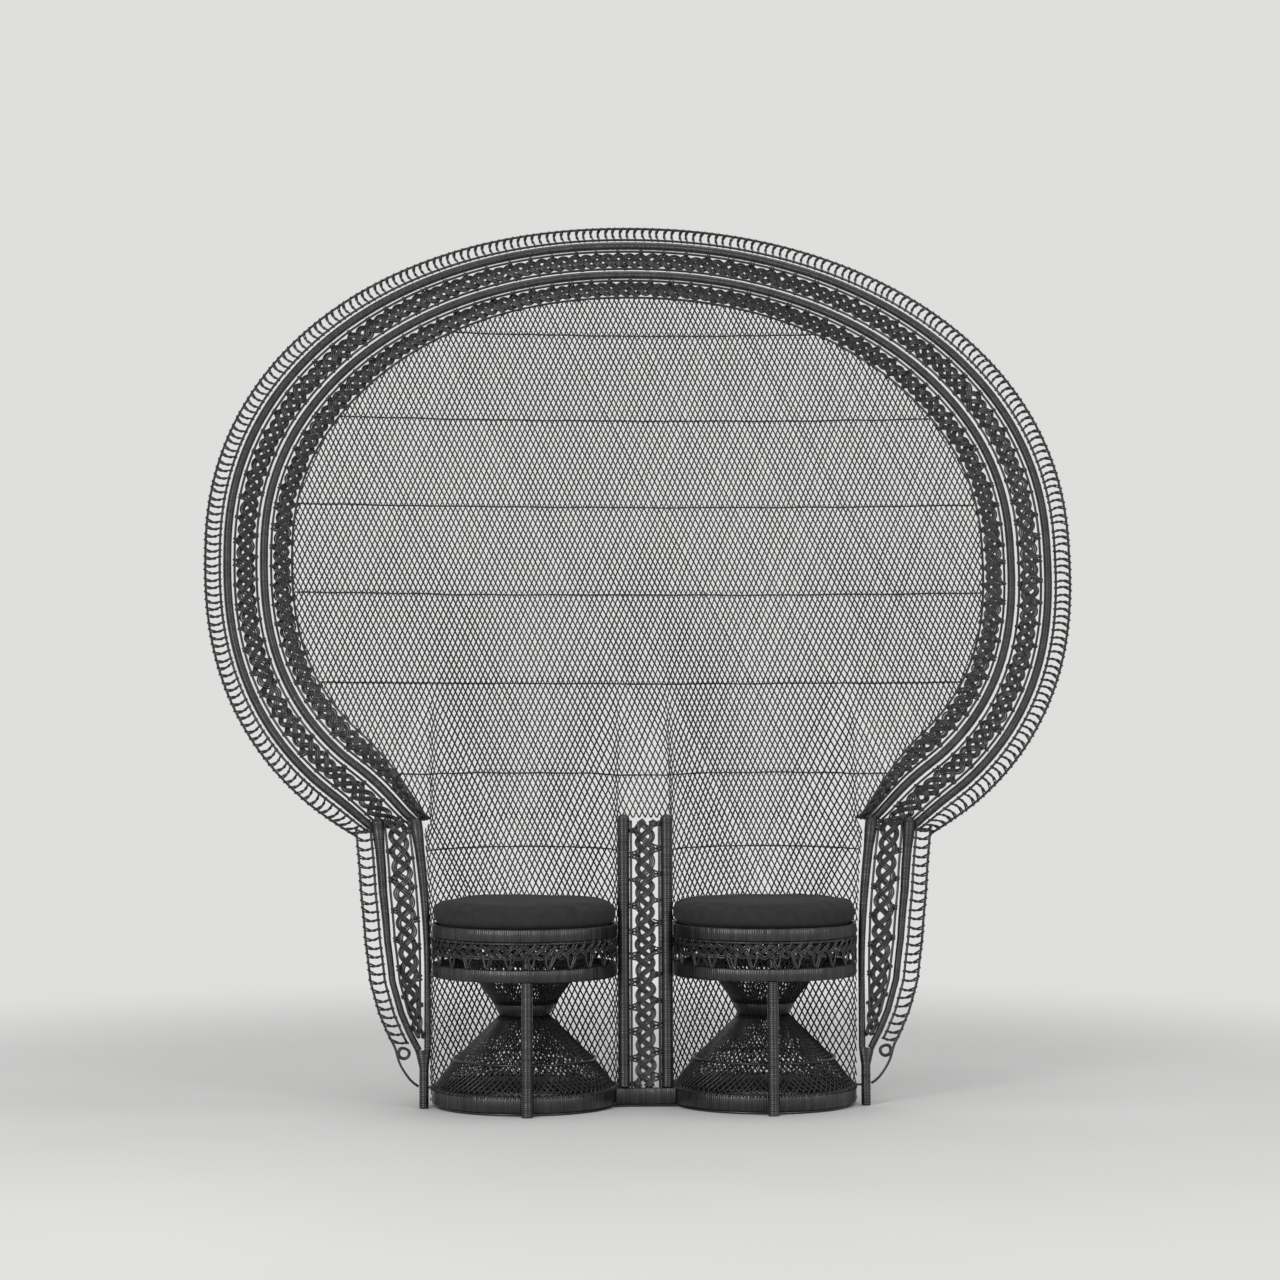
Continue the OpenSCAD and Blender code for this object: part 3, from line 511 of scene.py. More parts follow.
def wander(u, length, rng, waves):
    """A slow random wave along a closed or open length, about one high."""
    k = np.arange(1, waves + 1)
    phase = rng.uniform(0, 2 * np.pi, waves)
    size = rng.uniform(0.3, 1, waves)
    return (np.sin(2 * np.pi * k * u[..., None] / length + phase) * size).sum(-1) / math.sqrt(waves / 2)


def turns_of(length, size):
    return max(2, round(length / size[0]))


def plait(strands, place, length, size, rng, plies=PLIES, closed=False):
    """Three strands of canes lying side by side, braided; place(u, v, w) puts along, across and forward."""
    turns = turns_of(length, size)
    steps = turns * 20
    u = np.linspace(0, length, steps + (0 if closed else 1), endpoint=not closed)
    du = 0.0005
    for strand in range(3):
        loose = 0.22 * wander(u, length, rng, max(4, turns))
        ample = size[1] * (1 + 0.07 * wander(u, length, rng, max(4, turns)))

        def phase(at):
            return 2 * np.pi * (turns * at / length + strand / 3) + loose

        slope = ample * (np.sin(phase(u + du)) - np.sin(phase(u - du))) / (2 * du)
        for ply in plies:
            shift = ply * (1 + 0.12 * wander(u, length, rng, 5)) / np.sqrt(1 + slope**2)
            w = PLAIT_LIFT * np.sin(2 * phase(u)) + rng.normal(0, 0.0002)
            at, across = u - shift * slope, ample * np.sin(phase(u)) + shift
            points = place(at, across, w)
            ups = place(at, across, w + 0.001) - points
            sweep(strands, points[None], ups[None], PLAIT_W, PLAIT_T, rng.uniform(0, 1), 6, closed)


def plait_edges(length, size, side):
    """Where the strokes of a plait reach its one edge (side 1) or its other (side -1)."""
    count = 3 * turns_of(length, size)
    return (np.arange(count) + (0.75 if side > 0 else 0.25)) / count * length


def loops(strands, place, centres, shape, rng, count, half_w=CANE_W, half_t=CANE_T, jitter=0.0008):
    """The same bent cane at many places; shape lists its points as (along, across, forward)."""
    along, across, forward = curve(shape, count).T
    centres = np.asarray(centres)[:, None] + rng.normal(0, jitter, (len(centres), 1))
    skew = rng.normal(0, 0.08, centres.shape)
    across, forward = across + 0 * centres, forward + 0 * centres
    paths = place(centres + along + skew * across, across, forward)
    beside = place(centres + along + 0.001, across, forward)
    turning = np.cross(np.gradient(paths, axis=1), beside - paths)
    sweep(strands, paths, turning, half_w, half_t, rng.uniform(0, 1, len(centres)), 6)


BEND = ROD_R + CANE_T + 0.0002


def tie(v_from, v_rod, forward):
    """Shape of a cane that runs out from a plait at a slant, goes round a rod and comes back behind."""
    s, spread = math.copysign(1, v_rod - v_from), TIE_SPREAD
    return [(-spread, v_from, 0.0020), (-0.6 * spread, mix(v_from, v_rod, 0.5), 0.0026),
            (-0.2 * spread, v_rod - s * BEND * 0.8, forward + BEND * 0.7), (0, v_rod, forward + BEND),
            (0.0005, v_rod + s * BEND, forward), (0.2 * spread, v_rod, forward - BEND),
            (0.4 * spread, v_rod - s * BEND * 1.5, forward - BEND),
            (spread, mix(v_from, v_rod, 0.3), -0.0022)]


def add_ties(strands, place, length, size, edge, rod, forward, rng, every=1):
    """Pairs of ties from the edge of a plait to the rod beside it, on the rod's side."""
    side = math.copysign(1, rod)
    centres = plait_edges(length, size, side)[::every]
    for offset in (-0.0023, 0.0023):
        loops(strands, place, centres + offset, tie(side * edge, rod, forward), rng, 12, jitter=0.0012)


def tied_plait(name, place, length, size, edge, rods_at, rng):
    """A plait with ties to the rods on both its sides, each rod given as (across, forward)."""
    strands = Strands()
    plait(strands, place, length, size, rng)
    for rod, forward in rods_at:
        add_ties(strands, place, length, size, edge, rod, forward, rng, 2)
    strands.make(name, "plaited_cane")


def grid(low, high, pitch):
    count = int((high - low) / pitch)
    return low + (np.arange(count) + 0.5) * (high - low) / count


# The rim: places along it are lengths on a chosen line between two members
RIM_Q = np.linspace(-1, 1, 1601)


def rim_band(d_from, d_to):
    middle = (d_from + d_to) / 2
    run = lengths(rim_point(middle, RIM_Q))

    def place(u, v, w):
        q = np.interp(u, run, RIM_Q)
        near, far = rim_distance(d_from, q), rim_distance(d_to, q)
        share = 0.5 + v / (d_to - d_from)
        return rim_at(mix(near, far, share), q, w)

    return place, run[-1]


def arm_band(side, from_x, to_x, low, top):
    """A panel of an arm between two lines, from just above the foot to the elbow."""
    z = np.linspace(low, top, 200)
    nominal = (to_x(ARM_Z) - from_x(ARM_Z)) / 2
    line = stacked((from_x(z) + to_x(z)) / 2, arm_y(z), z)
    run = lengths(line)

    def place(u, v, w):
        at = np.interp(u, run, z)
        half = (to_x(at) - from_x(at)) / 2
        x = (from_x(at) + to_x(at)) / 2 + v * np.minimum(1.15, half / nominal)
        return stacked(side * x, arm_y(at) - w, at)

    return place, run[-1]


def around(side, r, turn, z):
    """Points round a seat's axis."""
    return stacked(side * SEAT_X + r * np.cos(turn), SEAT_Y + r * np.sin(turn), z)


def column_place(u, v, w):
    cos, sin = math.cos(LEAN), math.sin(LEAN)
    return stacked(v, lean_y(0) + u * sin - w * cos, u * cos + w * sin)


def seat_place(side, z0, radius):
    def place(u, v, w):
        return around(side, radius + w, u / SEAT_R - np.pi / 2, z0 + v)

    return place


def circle(side, radius, z, count=240):
    return around(side, radius, full_turn(count), z)


# Materials
def nodes_of(name, roughness, coat=0.0, sheen=0.0, specular=0.5):
    material = bpy.data.materials.new(name)
    material.use_nodes = True
    tree = material.node_tree
    shader = tree.nodes["Principled BSDF"]
    fill(tree, shader, {"Roughness": roughness, "Coat Weight": coat, "Coat Roughness": 0.16,
                        "Sheen Weight": sheen, "Specular IOR Level": specular})
    return material, tree, shader


def fill(tree, node, inputs):
    """Gives named or numbered inputs of a node a constant or another node's output."""
    for socket, value in inputs.items():
        if isinstance(value, bpy.types.NodeSocket):
            tree.links.new(value, node.inputs[socket])
        else:
            node.inputs[socket].default_value = value


def add_node(tree, kind, inputs):
    node = tree.nodes.new("ShaderNode" + kind)
    fill(tree, node, inputs)
    return node


def add_math(tree, operation, a, b):
    node = add_node(tree, "Math", {0: a, 1: b})
    node.operation = operation
    return node.outputs[0]


def place_on(tree):
    return add_node(tree, "TexCoord", {}).outputs["Object"]


def noise(tree, scale, detail=3.0):
    texture = add_node(tree, "TexNoise", {"Scale": scale, "Detail": detail, "Vector": place_on(tree)})
    return texture.outputs["Fac"]


def ramp(tree, factor, low, high):
    """Grey or colour between two stops, each given as (place, colour)."""
    node = add_node(tree, "ValToRGB", {"Fac": factor})
    for element, (at, colour) in zip(node.color_ramp.elements, (low, high)):
        element.position, element.color = at, (*(np.ones(3) * colour), 1)
    return node.outputs["Color"]


def multiplied(tree, a, b):
    return blended(tree, "MULTIPLY", 1.0, a, b)


def blended(tree, kind, factor, a, b):
    node = tree.nodes.new("ShaderNodeMix")
    node.data_type, node.blend_type = "RGBA", kind
    fill(tree, node, {"Factor": factor, "A": a, "B": b})
    return node.outputs["Result"]


def bump(tree, shader, height, strength, distance):
    node = add_node(tree, "Bump", {"Strength": strength, "Distance": distance, "Height": height})
    fill(tree, shader, {"Normal": node.outputs["Normal"]})


def lacquered_cane(name, dark, light, worn, roughness):
    """Black lacquer on cane: each strand has its own tone, darkened in the grooves between wrap turns as
    painted shade, with worn brownish spots and fine grain.
    """
    material, tree, shader = nodes_of(name, roughness, coat=0.3, specular=0.36)
    attribute = tree.nodes.new("ShaderNodeAttribute")
    attribute.attribute_name = "tone"
    tone = attribute.outputs["Fac"]
    colour = ramp(tree, tone, (0.0, dark), (1.0, light))
    spots = ramp(tree, noise(tree, 60, 4), (0.56, 0), (0.74, 1))
    patches = ramp(tree, noise(tree, 7, 2), (0.42, 0), (0.68, 1))
    brown = tree.nodes.new("ShaderNodeRGB").outputs[0]
    brown.default_value = (*worn, 1)
    wear = multiplied(tree, spots, patches)
    rough = add_node(tree, "MapRange", {"To Min": roughness + 0.14, "To Max": roughness - 0.1, "Value": tone})
    fill(tree, shader, {"Base Color": blended(tree, "MIX", wear, colour, brown),
                        "Roughness": rough.outputs["Result"]})
    bump(tree, shader, noise(tree, 900, 2), 0.25, 0.0004)
    return material


canes = {
    "cane_wrap": lacquered_cane("wrapped_cane", (0.0032, 0.0031, 0.0031), (0.0270, 0.0252, 0.0247),
                                (0.034, 0.028, 0.025), 0.30),
    "plaited_cane": lacquered_cane("plaited_cane", (0.0045, 0.0043, 0.0043), (0.0160, 0.0148, 0.0145),
                                   (0.030, 0.025, 0.022), 0.32),
    "woven_strands": lacquered_cane("woven_cane", (0.0050, 0.0048, 0.0048), (0.0140, 0.0132, 0.0130),
                                    (0.026, 0.022, 0.020), 0.36),
    "rattan_rod": lacquered_cane("rattan_rod", (0.0050, 0.0048, 0.0047), (0.0120, 0.0112, 0.0110),
                                 (0.032, 0.026, 0.022), 0.28)}


def make_fabric():
    """Charcoal plain weave: threads both ways, slubs and a soft sheen."""
    material, tree, shader = nodes_of("charcoal_fabric", 0.9, sheen=0.03, specular=0.15)
    waves = []
    for turn in (0, math.radians(90)):
        tilt = (math.radians(18), math.radians(12), turn + 0.3)
        mapping = add_node(tree, "Mapping", {"Rotation": tilt, "Vector": place_on(tree)})
        wave = add_node(tree, "TexWave", {"Scale": 330, "Distortion": 1.2, "Detail": 2,
                                          "Vector": mapping.outputs["Vector"]})
        waves.append(wave.outputs["Color"])
    threads = multiplied(tree, *waves)
    colour = ramp(tree, noise(tree, 45, 5), (0.3, (0.024, 0.0237, 0.0239)), (0.75, (0.034, 0.0334, 0.0336)))
    slubs = ramp(tree, noise(tree, 420, 3), (0.35, 0.82), (0.7, 1.15))
    lit = ramp(tree, threads, (0.0, 0.88), (0.6, 1.08))
    fill(tree, shader, {"Base Color": multiplied(tree, multiplied(tree, colour, slubs), lit)})
    bump(tree, shader, threads, 0.35, 0.0005)
    return material


fabric_material = make_fabric()


def rods(name, paths, seed, front=(0, -1, 0), closed=False):
    """Thin rattan rods, hardly straight and with a faint swelling here and there."""
    strands, rng = Strands(), seeded(seed)
    for path in paths:
        run = lengths(np.concatenate([path, path[:1]]) if closed else path)
        thick = ROD_R * (1 + 0.035 * wander(run[:len(path)], run[-1], rng, 9))[None]
        front = np.asarray(front, float)
        sweep(strands, path[None], front, thick, thick, rng.uniform(0, 1), 10, closed)
    strands.make(name, "rattan_rod")


def wrapped_pole(name, path, radius, pitch, rng, front=(0, -1, 0), **kind):
    strands = Strands()
    wrapped(strands, path, radius, pitch, rng, front, **kind)
    strands.make(name, "cane_wrap")


def rounded_end(u, top, depth):
    """Shares of a pole's radius along its rounded end."""
    return np.sqrt(1 - np.clip((u - top + depth) / 0.0121, 0, 1) ** 2 * 0.97)


def even(path, step):
    run = lengths(path)
    return at_lengths(run, path, np.linspace(0, run[-1], max(2, int(run[-1] / step)) + 1))


# Rods, hoops and bands of the rim
for number, d in enumerate((0, D_ROD_2, D_ROD_3, D_ROD_4, D_ROD_5, D_ROD_6)):
    name = "fan_rod_%d" % (number + 1) if number else "fan_outer_rod"
    forward = ROD_FORWARD if 0 < number < 5 else 0.0
    rods(name, [even(rim_point(d, RIM_Q, forward), 0.02)], 10 + number)

for number, (name, d) in enumerate([("fan_outer_hoop", D_OUTER_HOOP), ("fan_inner_hoop", D_INNER_HOOP)]):
    wrapped_pole(name, rim_point(d, RIM_Q), RIM_HOOP_D / 2, RIM_WRAP, seeded(20 + number))

for name, d_from, d_to, size, last_forward, seed in (
        ("fan_outer_braid", D_ROD_3, D_ROD_4, OUTER_PLAIT, ROD_FORWARD, 31),
        ("fan_inner_braid", D_ROD_5, D_ROD_6, INNER_PLAIT, 0.0, 32)):
    place, length = rim_band(d_from, d_to)
    half = (d_to - d_from) / 2
    tied_plait(name, place, length, size, 0.6 * size[1], ((-half, ROD_FORWARD), (half, last_forward)),
               seeded(seed))


def fringe_shape(outer, inner, pitch):
    """One rung: along the outer rod, over to the inner rod, round it and back behind to the outer one."""
    s = math.copysign(1, inner - outer)
    forward, slack, sag = ROD_FORWARD, 0.0017, -0.0026
    near, far = mix(outer, inner, 0.35), mix(outer, inner, 0.65)
    return [(-0.62 * pitch, outer, BEND), (-0.3 * pitch, outer, BEND),
            (-0.12 * pitch, outer + s * BEND, 0.0022), (sag - slack, near, 0.0016), (sag + slack, far, 0.0024),
            (-0.0006, inner - s * BEND, forward + 0.5 * BEND), (0.0, inner, forward + BEND),
            (0.0006, inner + s * BEND, forward), (0.0010, inner, forward - BEND),
            (0.0012, inner - s * BEND, 0.0010), (sag - slack, far, -0.0010), (sag + slack, near, -0.0012),
            (0.14 * pitch, outer + s * BEND, -0.0012), (0.24 * pitch, outer, -BEND),
            (0.33 * pitch, outer - s * BEND, 0), (0.38 * pitch, outer, BEND)]


def make_fringe(name, place, length, pitch, outer, inner, seed, curl=False):
    """A row of rungs, with a ring of cane below its start where the rods end there."""
    strands, rng, start = Strands(), seeded(seed), 0
    if curl:
        turn, middle = full_turn(24), (outer + inner) / 2
        across = 0.84 * abs(outer - inner)
        start = across + 0.2 * pitch
        for radius in (across / 2, across / 2 - 0.0034):
            along = across / 2 + radius * np.sin(turn)
            ring = place(along, middle + radius * np.cos(turn), 0.0005)
            sweep(strands, ring[None], FRONT, CANE_W, 0.0014, rng.uniform(0, 1), 6, True)
    loops(strands, place, grid(start, length, pitch), fringe_shape(outer, inner, pitch), rng, 30)
    strands.make(name, "plaited_cane")


place, length = rim_band(0, D_ROD_2)
make_fringe("fan_fringe", place, length, FRINGE_PITCH, -FRINGE_W / 2, FRINGE_W / 2, 33)


# The woven back: two crossing layers of strands, each straight as seen from the front, except where the
# sheet turns edge-on beside a seat
STRAND_PITCH = 0.0122
STRAND_SLOPES = (0.42, -0.53)
LAYER = 0.0011
STRAIGHT_Z = 0.95
TURNED = 0.42
WALL_ROW_Z = 0.583
TWINE = 0.026
ROW_SAG = 0.004
EDGE_X, _, EDGE_Z = rim_point(D_ROD_6, np.linspace(1, 0, 400)).T
PART_Z = WEAVER_Z + WEAVER_PITCH
SKIRT_FRONT = COLUMN_POST_D / 2 + FIT + ELBOW_BACK / 4


def inside_back(s, z):
    """Whether a place of the sheet lies within the innermost rod, and below the arms on a seat's wall."""
    half = np.interp(z, EDGE_Z, EDGE_X) / STRETCH
    above = (np.abs(s) < half) & (z < EDGE_Z[-1])
    behind = on_lobe(s)[1] > lean_y(z) + SKIRT_FRONT
    below = (np.abs(s) > RIDGE_HALF_W) & (np.abs(s) < SHEET_END_S) & behind
    return np.where(z > ARM_Z, above, below)


def strand_lines(x0, slope, z):
    """Places along the sheet, at falling heights z, of strands that would show at x0 at the arms' height."""
    def x_of(s, at):
        return sheet_point(s, at)[..., 0]

    def shape(s, at):
        return np.maximum((x_of(s + 0.001, at) - x_of(s - 0.001, at)) / 0.002, TURNED)

    s = (x0 + slope * (z[0] - ARM_Z)) / STRETCH
    found = []
    for k, at in enumerate(z):
        if at >= STRAIGHT_Z:
            for _ in range(20 if k == 0 else 3):
                s = s + (x0 + slope * (at - ARM_Z) - x_of(s, at)) / shape(s, at)
        else:
            step = at - z[k - 1]
            middle = s + slope * step / 2 / shape(s, at)
            lean = (x_of(middle, at) - x_of(middle, z[k - 1])) / step
            s = s + (slope - lean) * step / shape(middle, at - step / 2)
        found.append(s)
    return np.array(found).T


def add_run(strands, points, normals, tangents, width, tone):
    """One strand along a run of points of the sheet, with a ring every 18 mm."""
    run = lengths(points)
    u = np.linspace(0, run[-1], max(2, round(run[-1] / 0.018) + 1))
    points, normals, tangents = (at_lengths(run, v, u)[None] for v in (points, normals, tangents))
    sweep(strands, points, normals, width, STRAND_T, tone, 4, tangents=tangents)


def make_back():
    parts = {name: Strands() for name in ("skirt_left", "skirt_right", "woven_lobes", "woven_fan")}
    rng = seeded(41)
    z = np.concatenate([np.linspace(BASE_Z + 0.002, ARM_Z, 160)[:-1], np.linspace(ARM_Z, PART_Z, 90)[:-1],
                        np.linspace(PART_Z, EDGE_Z[-1], 220)])
    bands = ((0, ARM_Z, "skirt"), (ARM_Z, PART_Z, "woven_lobes"), (PART_Z, 9, "woven_fan"))
    for slope, forward in zip(STRAND_SLOPES, (LAYER, -LAYER)):
        starts = np.arange(-1.4, 1.4, STRAND_PITCH)
        starts = starts + rng.normal(0, 0.0006, len(starts))
        for s in strand_lines(starts, slope, z[::-1])[:, ::-1]:
            tone, width = rng.uniform(0, 1), STRAND_W * rng.uniform(0.9, 1.08)
            normals = sheet_normal(s, z)
            points = sheet_point(s, z) + forward * normals
            tangents = np.gradient(points, axis=0)
            inside = inside_back(s, z)
            for low, high, name in bands:
                flags = (inside & (z >= low) & (z <= high)).astype(int)
                change = np.flatnonzero(np.diff(np.concatenate([[0], flags, [0]])))
                for a, b in zip(change[::2], change[1::2]):
                    if b - a < 3:
                        continue
                    side = "" if name != "skirt" else "_left" if s[a] < 0 else "_right"
                    add_run(parts[name + side], points[a:b], normals[a:b], tangents[a:b], width, tone)
    return parts


def twined(strands, s, z, rng):
    """Two thin canes twisted round each other along a row of the back."""
    normal = sheet_normal(s, z)
    for half in (0, np.pi):
        turn = 2 * np.pi * s / TWINE + half
        points = sheet_point(s, z + 0.0009 * np.sin(turn)) + (2 * LAYER * np.cos(turn))[:, None] * normal
        sweep(strands, points[None], normal[None], 0.0011, 0.0009, rng.uniform(0, 1), 5)


back_parts = make_back()
rng = seeded(42)
for side, name in ((-1, "skirt_left"), (1, "skirt_right")):
    s = side * np.linspace(RIDGE_HALF_W + 0.02, SHEET_END_S - 0.02, 150)
    twined(back_parts[name], s, WALL_ROW_Z + 0 * s, rng)
for name, strands in back_parts.items():
    strands.make(name, "woven_strands")

rows = Strands()
rng = seeded(43)
for z in np.arange(WEAVER_Z, FAN_TOP_Z - D_ROD_6 - OUTER_BRAID_W, WEAVER_PITCH):
    end_s = (np.interp(z, EDGE_Z, EDGE_X) - 0.004) / STRETCH
    s = np.linspace(-end_s, end_s, int(2 * end_s / 0.0042))
    height = z - ROW_SAG * (1 - (s / end_s) ** 2) + 0.0006 * wander(s + end_s, 2 * end_s, rng, 12)
    twined(rows, s, height, rng)
rows.make("weaver_rows", "woven_strands")


# Arms
for side, suffix in SIDES:
    rng = seeded(50 + side)
    low = OUTER_ROD_LOW * ARM_Z
    z = np.linspace(low, ARM_Z - FRINGE_DROP, 60)
    turn_x = float(outer_rod_x(low))
    tail = [[FOOT_X + FOOT_D / 2 + FIT + 0.4 * ROD_R, 0.4 * low], [mix(FOOT_X, turn_x, 0.5), 0.52 * low],
            [mix(FOOT_X, turn_x, 0.85), 0.78 * low], [turn_x, low], [outer_rod_x(low + 0.02), low + 0.02]]
    plan = np.concatenate([curve(tail, 40)[:-9], stacked(outer_rod_x(z[1:]), z[1:])])
    x, z = plan[np.concatenate([[True], np.diff(plan[:, 1]) > 0])].T
    rods("arm_outer_rod" + suffix, [even(stacked(side * x, arm_y(z), z), 0.012)], 60 + side)

    thin = []
    for line, offset, start in ((outer_post_x, ROD_GAP, THIN_ROD_LOW),
                                (outer_post_x, -ROD_GAP, INNER_ROD_LOW),
                                (inner_post_x, ROD_GAP, INNER_ROD_LOW)):
        z = np.linspace(start * ARM_Z, ARM_Z, 50)
        thin.append(stacked(side * (line(z) + offset), arm_y(z) - ROD_FORWARD, z))
    rods("arm_thin_rods" + suffix, thin, 62 + side)

    for name, line in (("arm_outer_post", outer_post_x), ("arm_inner_post", inner_post_x)):
        z = np.linspace(FOOT_H, ARM_Z + 0.003, 160)
        path = stacked(side * line(z), arm_y(np.minimum(z, ARM_Z)), z)
        swollen = post_r(z) + KNOB * smooth((z - ARM_Z + 0.075) / 0.055)
        wrapped_pole(name + suffix, path, swollen * rounded_end(z, ARM_Z, 0.009), POST_WRAP, rng)

    place, length = arm_band(side, outer_post_x, outer_rod_x, FRINGE_LOW * ARM_Z, ARM_Z - FRINGE_DROP)
    half = (FRINGE_W + ROD_GAP) / 2
    make_fringe("arm_fringe" + suffix, place, length, ARM_FRINGE_PITCH, half, ROD_GAP - half, 64 + side, True)

    place, length = arm_band(side, inner_post_x, outer_post_x, BRAID_LOW * ARM_Z, ARM_Z)
    rod = ARM_SPREAD / 2 - ROD_GAP
    tied_plait("arm_braid" + suffix, place, length, ARM_PLAIT, TIE_EDGE,
               ((-rod, ROD_FORWARD), (rod, ROD_FORWARD)), rng)

    foot = Strands()
    z = np.linspace(0, FOOT_H, 60)
    spread = np.clip((z - 0.7 * FOOT_H) / (0.3 * FOOT_H), 0, 1)
    grip_in, grip_out = inner_post_x(FOOT_H) - POST_R_LOW, outer_post_x(FOOT_H) + POST_R_LOW
    path = stacked(side * mix(FOOT_X, (grip_in + grip_out) / 2, spread), lean_y(z), z)
    half_x = mix(FOOT_D / 2, (grip_out - grip_in) / 2, spread)
    half_y = mix(FOOT_D / 2, 1.1 * POST_R_LOW, spread)
    wrapped(foot, path, (half_x, half_y), POST_WRAP, rng, FRONT)
    link_z = BASE_TOP_Z + ROD_R + TOUCH
    link_y = float(lean_y(link_z))
    ring_x = SEAT_X + math.sqrt((SEAT_R - CONE_T / 2) ** 2 - (link_y - SEAT_Y) ** 2)
    link = np.array([[side * x, link_y, link_z] for x in np.linspace(ring_x, FOOT_X, 6)])
    sweep(foot, link[None], FRONT, ROD_R, ROD_R, 0.5, 10)
    foot.make("foot" + suffix, "cane_wrap")

# Column between the seats
COLUMN_TOP = COLUMN_Z / math.cos(LEAN)
COLUMN_LOW = (BASE_TOP_Z + TOUCH) / math.cos(LEAN)
COLUMN_ROD_X = COLUMN_POST_X - COLUMN_POST_D / 2 - FIT - ROD_R
COLUMN_ROD_TOP = COLUMN_TOP - COLUMN_POST_D / 2
rng = seeded(70)
for side, suffix in SIDES:
    u = np.linspace(COLUMN_LOW, COLUMN_TOP, 200)
    radius = COLUMN_POST_D / 2 + 0.0008 * smooth((u - COLUMN_TOP + 0.07) / 0.05)
    path = column_place(u, side * COLUMN_POST_X, 0)
    wrapped_pole("column_post" + suffix, path, radius * rounded_end(u, COLUMN_TOP, 0.012), POST_WRAP, rng)
u = np.linspace(COLUMN_LOW, COLUMN_ROD_TOP, 40)
rods("column_rods", [column_place(u, side * COLUMN_ROD_X, ROD_FORWARD) for side in (-1, 1)], 71)


def column_band(u, v, w):
    return column_place(COLUMN_LOW + u, v, w)


tied_plait("column_braid", column_band, COLUMN_ROD_TOP - COLUMN_LOW, COLUMN_PLAIT, TIE_EDGE,
           ((-COLUMN_ROD_X, ROD_FORWARD), (COLUMN_ROD_X, ROD_FORWARD)), rng)

bar_y = float(lean_y(BASE_TOP_Z))
bar_end = SEAT_X - math.sqrt(SEAT_R**2 - (bar_y - SEAT_Y) ** 2) + 0.0005
line = np.array([[x, bar_y, BASE_Z + BASE_H / 2] for x in np.linspace(-bar_end, bar_end, 20)])
wrapped_pole("base_bar", line, 0, HOOP_WRAP, rng, UPWARD, bar=rounded_bar(BASE_H, HOOP_T))

# Rods on the floor stay as the part has them
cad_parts["floor_rods"].data.materials.clear()
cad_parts["floor_rods"].data.materials.append(canes["rattan_rod"])


# Seats and pedestals
def cone_strands(strands, side, profile, pairs, twist, rng, steps):
    """Two crossing families of strands on a cone, whose profile lists (height, radius) from below."""
    heights, radii = np.array(profile).T
    z = np.linspace(heights[0], heights[-1], steps)
    r = np.interp(z, heights, radii)
    share = (z - z[0]) / (z[-1] - z[0])
    for way in (-1, 1):
        start = (np.arange(pairs) + 0.5 * (way > 0)) / pairs * 2 * np.pi + rng.normal(0, 0.006, pairs)
        turn = start[:, None] + way * twist * share
        points = around(side, r + STRAND_T * way, turn, z)
        outward = stacked(np.cos(turn), np.sin(turn), 0 * turn)
        width = np.minimum(CONE_W, 0.98 * np.pi * r / pairs)
        sweep(strands, points, outward, width[None], STRAND_T, rng.uniform(0, 1, pairs), 4)


# Cones: pairs of strands, and how far round each turns on its way up
LOWER_CONE = (84, math.radians(45))
UPPER_CONE = (72, math.radians(-40))
PLAIT_RISE = 0.037
LOOP_HALF_W = 0.0135
LOOP_PLY = 0.0044
DECK_STRIP = 0.016

